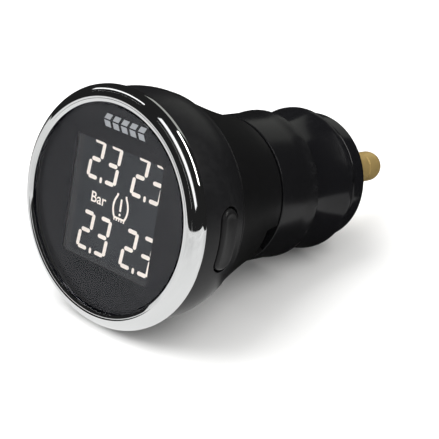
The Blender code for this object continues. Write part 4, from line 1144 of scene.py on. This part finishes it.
def makeNose():
    s = noseShape
    rear = station("nose_cap", 1)
    flareFront = noseFront + s["waistLength"]
    flareRear = rear - s["rimSetBack"]
    lipRear = rear - s["lipSetBack"]
    slope = math.tan(math.radians(s["coneAngle"]))
    coneRear = lipRear + 0.0002 + (s["lip"] - 0.0002 - s["boss"]) / slope
    shoulder = station("pin_washer", 1) + gap
    chamber = reach("pin_washer") + gap
    pinHole = 0.0023 + gap
    bore = barrelShape["spigot"] + gap
    points = [(s["waist"], noseFront, 0.00015)]
    rows = 18
    for i in range(rows + 1):
        share = i / rows
        points.append((s["waist"] + (s["rim"] - s["waist"]) * share ** s["curve"],
                       flareFront + (flareRear - flareFront) * share))
    for k in range(1, 9):
        turn = math.radians(80 * k / 8)
        points.append((s["rim"] - s["rimRound"] + s["rimRound"] * math.cos(turn),
                       flareRear + gap + s["rimRound"] * math.sin(turn)))
    grooveFront = flareRear + s["grooveOffset"]
    grooveRear = grooveFront + s["grooveWidth"]
    points += [(s["groove"], grooveFront, 0.0002), (s["groove"], grooveRear, 0.00015)]
    for k in range(9):
        turn = math.radians(-70 + 70 * k / 8)
        points.append((s["lip"] - s["lipRound"] + s["lipRound"] * math.cos(turn),
                       grooveRear + s["lipRound"] + 0.0002 + s["lipRound"] * math.sin(turn)))
    points += [(s["lip"], lipRear, 0.0003), (s["boss"], coneRear, 0.0004), (s["boss"], rear, 0.00025),
               (pinHole, rear, 0.00015), (pinHole, shoulder, 0.0001), (chamber, shoulder, 0.0002),
               (chamber, spigotRear + gap + 0.0015, 0.0003), (bore - 0.0015, spigotRear + gap, 0.0003),
               (bore, spigotRear + gap, 0.0001), (bore, noseFront, 0.00015)]
    cap = shade(lathe("noseCap", points, 200, facets=6), 34)
    return fit(cap, "nose_cap", ["nose_cap"], finishes["nose plastic"])


def makePin():
    # domed pin with a shallow turned groove, a flange and a cup for the fuse
    low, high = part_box("contact_pin")
    radius = 0.0023
    flange = reach("contact_pin")
    washerFront = station("pin_washer", 0)
    flangeRear = washerFront - gap
    flangeFront = flangeRear - 0.0015
    cupBottom = station("fuse_cap_rear", 1) + gap
    cupInner = reach("fuse_cap_rear") + 0.0005
    cupOuter = cupInner + 0.0008
    points = [(0, cupBottom), (cupInner, cupBottom, 0.0002), (cupInner, low.y, 0.0002),
              (cupOuter, low.y, 0.0002), (cupOuter, flangeFront, 0.0001), (flange, flangeFront, 0.00015),
              (flange, flangeRear, 0.00015),
              (radius, flangeRear, 0.0001)]
    tip = high.y
    shaft = tip - radius
    points += [(radius, shaft - 0.0022, 0.0001), (radius - 0.00010, shaft - 0.0021, 0.0001),
               (radius - 0.00010, shaft - 0.0018, 0.0001), (radius, shaft - 0.0017, 0.0001)]
    for k in range(17):
        turn = math.radians(90 * k / 17)
        points.append((radius * math.cos(turn), shaft + radius * math.sin(turn)))
    points.append((0, tip))
    pin = shade(lathe("contactPin", points, 112, closed=False, facets=4), 34)
    return fit(pin, "pin", ["contact_pin"], finishes["turned brass"])


def makeGroundContact():
    # bowed strip with a pressed rib down its middle
    low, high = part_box("ground_contact")
    rows, columns = 40, 16
    thick = 0.0004
    ends = plugRadius - 0.0009
    crown = -low.x
    shape = bmesh.new()
    grid = []
    for layer in (0, 1):
        sheet = []
        for i in range(rows + 1):
            share = i / rows
            bow = math.sin(math.pi * share) ** 0.8
            line = []
            for j in range(columns + 1):
                across = j / columns * 2 - 1
                rib = 0.00012 * math.exp(-(across / 0.28) ** 2) * bow
                edge = 0.00010 * max(abs(across) - 0.85, 0) / 0.15
                out = ends + (crown - ends) * bow - 0.00012 + rib * (1 if layer == 0 else 0.9) - edge
                x = -(out - layer * thick)
                y = low.y + (high.y - low.y) * share
                z = across * (high.z - low.z) / 2
                line.append(shape.verts.new((x, y, z)))
            sheet.append(line)
        grid.append(sheet)
    for layer in (0, 1):
        for i in range(rows):
            for j in range(columns):
                g = grid[layer]
                shape.faces.new((g[i][j], g[i + 1][j], g[i + 1][j + 1], g[i][j + 1]))
    for i in range(rows):
        for j in (0, columns):
            shape.faces.new((grid[0][i][j], grid[0][i + 1][j], grid[1][i + 1][j], grid[1][i][j]))
    for j in range(columns):
        for i in (0, rows):
            shape.faces.new((grid[0][i][j], grid[0][i][j + 1], grid[1][i][j + 1], grid[1][i][j]))
    strip = shade(newPiece("groundContact", meshFrom("groundContact", shape)), 40)
    return fit(strip, "side_contact", ["ground_contact"], finishes["spring steel"])


def tubeAlong(name, route, radius, facets=14):
    # a round wire along a row of points, turned with the least twist
    shape = bmesh.new()
    rings = []
    points = [Vector(p) for p in route]
    side = None
    for i, here in enumerate(points):
        ahead = points[min(i + 1, len(points) - 1)]
        behind = points[max(i - 1, 0)]
        along = (ahead - behind).normalized()
        if side is None:
            side = along.orthogonal().normalized()
        side = (side - along * side.dot(along)).normalized()
        up = along.cross(side)
        rings.append([shape.verts.new(here + (side * math.cos(2 * math.pi * k / facets)
                                              + up * math.sin(2 * math.pi * k / facets)) * radius)
                      for k in range(facets)])
    for one, two in zip(rings, rings[1:]):
        for k in range(facets):
            m = (k + 1) % facets
            shape.faces.new((one[k], one[m], two[m], two[k]))
    shape.faces.new(rings[0])
    shape.faces.new(list(reversed(rings[-1])))
    return shade(newPiece(name, meshFrom(name, shape)), 50)


def makeSpring():
    # closed and flattened end turns, open turns between
    low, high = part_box("contact_spring")
    wire = 0.0006
    radius = 0.0026 - wire / 2
    turns = 5.0
    count = 240
    start = low.y + wire / 2 + 0.00002
    length = high.y - low.y - wire - 0.00004
    route = []
    for i in range(count + 1):
        t = i / count
        ease = t * t * (3 - 2 * t) * 0.55 + t * 0.45
        turn = 2 * math.pi * turns * t
        route.append((radius * math.cos(turn), start + length * ease, radius * math.sin(turn)))
    spring = tubeAlong("contactSpring", route, wire / 2)
    fit(spring, "pin", ["contact_spring"], finishes["spring steel"])
    return spring


makeBarrel()
makeThread()
makeNose()
makePin()
makeGroundContact()
print("plug ready")

# inside
def refine(node, name, body, finish, bevel=0.00008, angle=36.0):
    # a merged copy of the node with its edges rounded
    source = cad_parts[node]
    shape = bmesh.new()
    shape.from_mesh(source.data)
    bmesh.ops.remove_doubles(shape, verts=shape.verts, dist=1e-7)
    bmesh.ops.dissolve_limit(shape, angle_limit=math.radians(1.0), verts=shape.verts, edges=shape.edges)
    piece = newPiece(name, meshFrom(name, shape))
    if bevel:
        soften(piece, bevel, angle, 2)
    shade(piece)
    return fit(piece, body, [node], finish)


innerPieces = [
    # node, name, body, slot, finish, rounding
    ("window_gasket", "windowGasket", "monitor", "rubber_black", "gasket rubber", 0.00010),
    ("lcd_frame", "displayFrame", "monitor", "frame_white", "frame plastic", 0.00015),
    ("light_guide", "lightGuide", "monitor", "diffuser_white", "guide acrylic", 0.00015),
    ("zebra_connector", "zebraStrip", "monitor", "rubber_black", "gasket rubber", 0.00010),
    ("backlight_led", "backlightLamp", "monitor", "diffuser_white", "guide acrylic", 0.00010),
    ("main_board", "mainBoard", "monitor", "board_green", "circuit board", 0.00004),
    ("controller_chip", "controllerChip", "monitor", "chip_black", "chip epoxy", 0.0),
    ("receiver_chip", "receiverChip", "monitor", "chip_black", "chip epoxy", 0.0),
    ("crystal_can", "crystalCan", "monitor", "tin", "tinned metal", 0.0),
    ("filter_capacitor", "filterCapacitor", "monitor", "tin", "tinned metal", 0.00006),
    ("alarm_buzzer", "alarmSounder", "monitor", "chip_black", "chip epoxy", 0.00008),
    ("side_switch", "sideSwitch", "monitor", "chip_black", "chip epoxy", 0.00004),
    ("switch_plunger", "switchPlunger", "button", "holder_nylon", "holder nylon", 0.00008),
    ("fuse_holder", "fuseHolder", "monitor", "holder_nylon", "holder nylon", 0.00008),
    ("power_terminal", "powerTerminal", "monitor", "tin", "tinned metal", 0.00008),
    ("pin_washer", "pinWasher", "nose_carrier", "fibre_red", "washer fibre", 0.00005),
    ("fuse_tube", "fuseTube", "pin", "fuse_glass", "fuse glass", 0.0),
    ("fuse_wire", "fuseWire", "pin", "tin", "tinned metal", 0.0),
    ("fuse_cap_front", "fuseCapFront", "pin", "tin", "tinned metal", 0.00004),
    ("fuse_cap_rear", "fuseCapRear", "pin", "tin", "tinned metal", 0.00004),
]


def smoothTube(node, name, body, finish):
    # a lead or wire whose facets are rounded off
    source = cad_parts[node]
    shape = bmesh.new()
    shape.from_mesh(source.data)
    bmesh.ops.remove_doubles(shape, verts=shape.verts, dist=1e-7)
    piece = newPiece(name, meshFrom(name, shape))
    return fit(shade(piece, 60), body, [node], finish)


def makeScrew(node, name):
    # domed head with a cross recess, and a fine thread on the shank
    low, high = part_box(node)
    x, z = (low.x + high.x) / 2, (low.z + high.z) / 2
    head = (high.x - low.x) / 2
    shank = 0.0005
    under = high.y - 0.0007
    points = [(0, low.y), (shank * 0.4, low.y, 0.0001), (shank * 0.85, low.y + 0.0004)]
    along = low.y + 0.0005
    while along < under - 0.0004:
        points += [(shank * 0.82, along), (shank, along + 0.00012), (shank * 0.82, along + 0.00024)]
        along += 0.00030
    points += [(shank * 0.85, under - 0.0001), (shank * 0.85, under, 0.0001), (head, under, 0.00015)]
    for k in range(7):
        turn = math.radians(90 * k / 7)
        rise = (high.y - under - 0.0002) * math.sin(turn)
        points.append((head * math.cos(turn) ** 0.6, under + 0.0002 + rise))
    points.append((0, high.y))
    screw = lathe(name, points, 40, closed=False, x=x, z=z, facets=3)
    for wide, tall in ((0.00150, 0.00030), (0.00030, 0.00150)):
        cutter = roundedSlab("recess", (x - wide / 2, high.y - 0.00035, z - tall / 2),
                             (x + wide / 2, high.y + 0.001, z + tall / 2), 0.00008, 3)
        carve(screw, cutter)
    shade(screw, 35)
    return fit(screw, "monitor", [node], finishes["tinned metal"])


def legTree(finish):
    # bent legs set out along the four sides of a chip
    tree, entry, leave = startGeometry("chip legs", [
        ("Count", "NodeSocketInt", 8), ("Half", "NodeSocketFloat", 0.003), ("Run", "NodeSocketFloat", 0.005),
        ("Width", "NodeSocketFloat", 0.0003), ("Length", "NodeSocketFloat", 0.0006),
        ("Thick", "NodeSocketFloat", 0.00014)])
    size = addNode(tree, "ShaderNodeCombineXYZ", -900, 200)
    tree.links.new(entry.outputs["Width"], size.inputs[0])
    tree.links.new(entry.outputs["Thick"], size.inputs[1])
    tree.links.new(entry.outputs["Length"], size.inputs[2])
    foot = addNode(tree, "GeometryNodeMeshCube", -700, 200)
    tree.links.new(size.outputs[0], foot.inputs["Size"])
    start = addNode(tree, "ShaderNodeCombineXYZ", -700, -50)
    halfRun = mathNode(tree, "MULTIPLY", -900, -50, entry.outputs["Run"], -0.5)
    halfLength = mathNode(tree, "MULTIPLY", -900, -200, entry.outputs["Length"], 0.5)
    out = mathNode(tree, "ADD", -750, -200, entry.outputs["Half"], halfLength)
    tree.links.new(halfRun, start.inputs[0])
    tree.links.new(out, start.inputs[2])
    gaps = mathNode(tree, "SUBTRACT", -900, -350, entry.outputs["Count"], 1.0)
    pitch = mathNode(tree, "DIVIDE", -750, -350, entry.outputs["Run"], gaps)
    step = addNode(tree, "ShaderNodeCombineXYZ", -600, -350)
    tree.links.new(pitch, step.inputs[0])
    line = addNode(tree, "GeometryNodeMeshLine", -450, -100)
    tree.links.new(entry.outputs["Count"], line.inputs["Count"])
    tree.links.new(start.outputs[0], line.inputs["Start Location"])
    tree.links.new(step.outputs[0], line.inputs["Offset"])
    copies = addNode(tree, "GeometryNodeInstanceOnPoints", -200, 0)
    tree.links.new(line.outputs[0], copies.inputs["Points"])
    tree.links.new(foot.outputs["Mesh"], copies.inputs["Instance"])
    join = addNode(tree, "GeometryNodeJoinGeometry", 300, 0)
    for quarter in range(4):
        turned = addNode(tree, "GeometryNodeTransform", 50, 200 - 150 * quarter)
        turned.inputs["Rotation"].default_value = (0, math.pi / 2 * quarter, 0)
        tree.links.new(copies.outputs[0], turned.inputs["Geometry"])
        tree.links.new(turned.outputs[0], join.inputs[0])
    endGeometry(tree, leave, join.outputs[0], finish)
    return tree


def makeLegs(tree, node, name, count):
    low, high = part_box(node)
    half = (high.x - low.x) / 2
    legs = growPiece(name, tree, {"Count": count, "Half": half + 0.00002, "Run": half * 1.5,
                                  "Width": half * 1.5 / count * 0.5, "Length": 0.0005, "Thick": 0.00014})
    place = Matrix.Translation(((low.x + high.x) / 2, low.y + 0.00009 - gap, (low.z + high.z) / 2))
    legs.data.transform(place)
    shade(legs)
    return fit(legs, "monitor", [], finishes["tinned metal"])


def componentTree(finish):
    # small two-ended parts in rows on the board
    tree, entry, leave = startGeometry("board components", [
        ("Columns", "NodeSocketInt", 4), ("Rows", "NodeSocketInt", 2), ("Pitch X", "NodeSocketFloat", 0.001),
        ("Pitch Z", "NodeSocketFloat", 0.001), ("Length", "NodeSocketFloat", 0.0008),
        ("Width", "NodeSocketFloat", 0.0004), ("Height", "NodeSocketFloat", 0.0003)])
    size = addNode(tree, "ShaderNodeCombineXYZ", -700, 250)
    tree.links.new(entry.outputs["Length"], size.inputs[0])
    tree.links.new(entry.outputs["Height"], size.inputs[1])
    tree.links.new(entry.outputs["Width"], size.inputs[2])
    body = addNode(tree, "GeometryNodeMeshCube", -500, 250)
    tree.links.new(size.outputs[0], body.inputs["Size"])
    firstStep = addNode(tree, "ShaderNodeCombineXYZ", -700, 0)
    tree.links.new(entry.outputs["Pitch X"], firstStep.inputs[0])
    row = addNode(tree, "GeometryNodeMeshLine", -500, 0)
    tree.links.new(entry.outputs["Columns"], row.inputs["Count"])
    tree.links.new(firstStep.outputs[0], row.inputs["Offset"])
    secondStep = addNode(tree, "ShaderNodeCombineXYZ", -700, -250)
    tree.links.new(entry.outputs["Pitch Z"], secondStep.inputs[2])
    column = addNode(tree, "GeometryNodeMeshLine", -500, -250)
    tree.links.new(entry.outputs["Rows"], column.inputs["Count"])
    tree.links.new(secondStep.outputs[0], column.inputs["Offset"])
    rowCopies = addNode(tree, "GeometryNodeInstanceOnPoints", -250, 100)
    tree.links.new(row.outputs[0], rowCopies.inputs["Points"])
    tree.links.new(body.outputs["Mesh"], rowCopies.inputs["Instance"])
    allCopies = addNode(tree, "GeometryNodeInstanceOnPoints", 0, 0)
    tree.links.new(column.outputs[0], allCopies.inputs["Points"])
    tree.links.new(rowCopies.outputs[0], allCopies.inputs["Instance"])
    endGeometry(tree, leave, allCopies.outputs[0], finish)
    return tree


def makeComponents():
    back = station("main_board", 1)
    tree = componentTree(finishes["chip epoxy"])
    groups = [("smallPartsLeft", -0.0112, -0.0004, 3, 2, 0.0013, 0.0011),
              ("smallPartsLow", -0.0022, -0.0112, 4, 2, 0.0013, 0.0010)]
    for name, x, z, columns, rows, pitchX, pitchZ in groups:
        piece = growPiece(name, tree, {"Columns": columns, "Rows": rows, "Pitch X": pitchX, "Pitch Z": pitchZ,
                                       "Length": 0.0009, "Width": 0.0005, "Height": 0.0004})
        piece.data.transform(Matrix.Translation((x, back + 0.00022, z)))
        soften(piece, 0.00004)
        shade(piece)
        fit(piece, "monitor", [], finishes["chip epoxy"])


for node, name, body, slot, finish, rounding in innerPieces:
    refine(node, name, body, finishes[finish], rounding)
makeScrew("board_screw_top", "boardScrewTop")
makeScrew("board_screw_bottom", "boardScrewBottom")
legs = legTree(finishes["tinned metal"])
makeLegs(legs, "controller_chip", "controllerLegs", 10)
makeLegs(legs, "receiver_chip", "receiverLegs", 6)
makeComponents()
smoothTube("antenna_coil", "antennaCoil", "monitor", finishes["coil copper"])
smoothTube("power_lead", "powerLead", "monitor", finishes["red insulation"])
smoothTube("ground_lead", "groundLead", "monitor", finishes["black insulation"])
spring = makeSpring()
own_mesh(spring)
print("inside ready")

# set: floor, lights and camera
reflector = {"half": 0.8, "front": -0.9, "rear": 0.035, "near": -0.004, "shade": 0.019, "level": 0.74,
             "tone": (1.0, 1.0, 0.99)}
setting = {"floorSize": 4.0, "floorTone": (0.86, 0.86, 0.855), "roomDark": 0.02, "fill": 1.02,
           "backdrop": 1.0}


def restLine():
    # the plug lies on the nose's rim and on the head's edge, so the floor is tilted in this frame
    rimRadius = noseShape["rim"]
    rimStation = station("nose_cap", 1) - noseShape["rimSetBack"]
    slope = 0.0
    for node in ("head_casing", "chrome_bezel"):
        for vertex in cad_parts[node].data.vertices:
            depth = -vertex.co.z - rimRadius
            slope = max(slope, depth / (rimStation - vertex.co.y))
    return rimStation, rimRadius, slope


rimStation, rimRadius, slope = restLine()
floorUp = Vector((0, -slope, 1)).normalized()
floorPoint = Vector((0, rimStation, -rimRadius)) - floorUp * 0.00005


def makeFloor():
    shape = bmesh.new()
    bmesh.ops.create_grid(shape, x_segments=8, y_segments=8, size=setting["floorSize"] / 2)
    mesh = bpy.data.meshes.new("floor")
    shape.to_mesh(mesh)
    shape.free()
    tilt = Vector((0, 0, 1)).rotation_difference(floorUp).to_matrix().to_4x4()
    mesh.transform(Matrix.Translation(floorPoint) @ tilt)
    paper = bpy.data.materials.new("floor paper")
    paper.use_nodes = True
    tree = paper.node_tree
    shader = tree.nodes["Principled BSDF"]
    place = addNode(tree, "ShaderNodeTexCoord", -900, 0).outputs["Object"]
    tint = placeGroup(tree, colourDrift, -600, 100, place, Colour=(*setting["floorTone"], 1), Size=6.0,
                      Spread=0.01)
    tree.links.new(tint.outputs[0], shader.inputs["Base Color"])
    shader.inputs["Roughness"].default_value = 0.75
    shader.inputs["Specular IOR Level"].default_value = 0.15
    floor = newPiece("floor", mesh, paper)
    floor.visible_glossy = False


def makeReflector():
    # what shiny surfaces see of the floor: it ends behind the object and leaves out its shadow
    r = reflector
    shape = bmesh.new()
    corners = [(-r["half"], r["front"]), (r["half"], r["front"]), (r["half"], r["rear"]),
               (r["shade"], r["rear"]), (r["shade"], r["near"]), (-r["half"], r["near"])]
    lift = floorPoint + floorUp * 0.00002
    points = [(x, y, lift.z - (y - lift.y) * floorUp.y / floorUp.z) for x, y in corners]
    shape.faces.new([shape.verts.new(point) for point in points])
    mesh = bpy.data.meshes.new("reflector")
    shape.to_mesh(mesh)
    shape.free()
    glow = bpy.data.materials.new("reflector glow")
    glow.use_nodes = True
    tree = glow.node_tree
    shader = tree.nodes["Principled BSDF"]
    shader.inputs["Base Color"].default_value = (0, 0, 0, 1)
    place = addNode(tree, "ShaderNodeTexCoord", -900, 0).outputs["Object"]
    tint = placeGroup(tree, colourDrift, -600, 0, place, Colour=(*r["tone"], 1), Size=9.0, Spread=0.5)
    tree.links.new(tint.outputs[0], shader.inputs["Emission Color"])
    shader.inputs["Emission Strength"].default_value = r["level"]
    card = newPiece("reflector", mesh, glow)
    card.visible_camera = False
    card.visible_diffuse = False
    card.visible_transmission = False
    card.visible_shadow = False


def addPanel(name, toward, distance, size, radiance, along=(0, 1, 0), tone=(1, 1, 1), glossy=True):
    # a soft box in a direction from the object, with its first size laid along a chosen direction
    panel = bpy.data.lights.new(name, "AREA")
    panel.shape = "RECTANGLE"
    panel.size, panel.size_y = size
    panel.energy = radiance * math.pi * size[0] * size[1]
    panel.color = tone
    outward = Vector(toward).normalized()
    across = Vector(along)
    across = (across - outward * across.dot(outward)).normalized()
    turned = Matrix((across, outward.cross(across), outward)).transposed().to_4x4()
    holder = bpy.data.objects.new(name, panel)
    holder.matrix_world = Matrix.Translation(outward * distance) @ turned
    holder.visible_glossy = glossy
    bpy.context.scene.collection.objects.link(holder)


def makeWorld():
    world = bpy.data.worlds.new("room")
    world.use_nodes = True
    bpy.context.scene.world = world
    tree = world.node_tree
    tree.nodes.clear()
    path = addNode(tree, "ShaderNodeLightPath", -700, 0)
    fill = mathNode(tree, "MULTIPLY", -450, 100, path.outputs["Is Diffuse Ray"], setting["fill"])
    backdrop = mathNode(tree, "MULTIPLY", -450, -100, path.outputs["Is Camera Ray"], setting["backdrop"])
    base = mathNode(tree, "ADD", -250, 0, fill, backdrop)
    total = mathNode(tree, "ADD", -100, 0, base, setting["roomDark"])
    back = addNode(tree, "ShaderNodeBackground", 100, 0)
    tree.links.new(total, back.inputs["Strength"])
    out = addNode(tree, "ShaderNodeOutputWorld", 300, 0)
    tree.links.new(back.outputs[0], out.inputs["Surface"])


shot = {"azimuth": 39.76, "elevation": 17.61, "roll": 9.47, "distance": 0.20747, "aside": -0.0146,
        "above": 0.001386, "lens": 130.95}


def makeCamera():
    az, el, roll = (math.radians(shot[k]) for k in ("azimuth", "elevation", "roll"))
    back = Vector((math.sin(az) * math.cos(el), -math.cos(az) * math.cos(el), math.sin(el)))
    level = Vector((math.cos(az), math.sin(az), 0))
    up = back.cross(level)
    right = level * math.cos(roll) + up * math.sin(roll)
    top = up * math.cos(roll) - level * math.sin(roll)
    place = Vector((0, windowPlane, 0)) + back * shot["distance"]
    place -= right * shot["aside"] + top * shot["above"]
    data = bpy.data.cameras.new("camera")
    data.lens = shot["lens"]
    data.sensor_width = 36.0
    data.clip_start = 0.005
    data.clip_end = 50.0
    holder = bpy.data.objects.new("camera", data)
    turned = Matrix((right, top, back)).transposed().to_4x4()
    holder.matrix_world = Matrix.Translation(place) @ turned
    bpy.context.scene.collection.objects.link(holder)
    bpy.context.scene.camera = holder


makeFloor()
makeReflector()
makeWorld()
makeCamera()
addPanel("high box", (0.58, 0.12, 0.80), 0.60, (0.50, 0.12), 6.0, (1.0, -0.1, -0.9), (1.0, 0.99, 0.97))
addPanel("front box", (0.40, -0.61, 0.62), 0.60, (0.84, 0.13), 1.1, (0.84, -0.11, -0.65))
addPanel("left strip", (-0.68, -0.22, 0.66), 0.60, (0.52, 0.05), 1.3, (-0.64, 0.48, -0.53))
addPanel("back panel", (-0.24, 0.74, 0.62), 0.80, (0.5, 0.4), 0.40, (1, 0, 0), (0.98, 1.0, 0.93))
addPanel("shadow light", (-0.50, -0.46, 0.74), 0.75, (0.80, 0.80), 3.4, (0, 1, 0), (1, 1, 1), False)
bpy.context.scene.view_settings.view_transform = "Standard"
print("set ready")
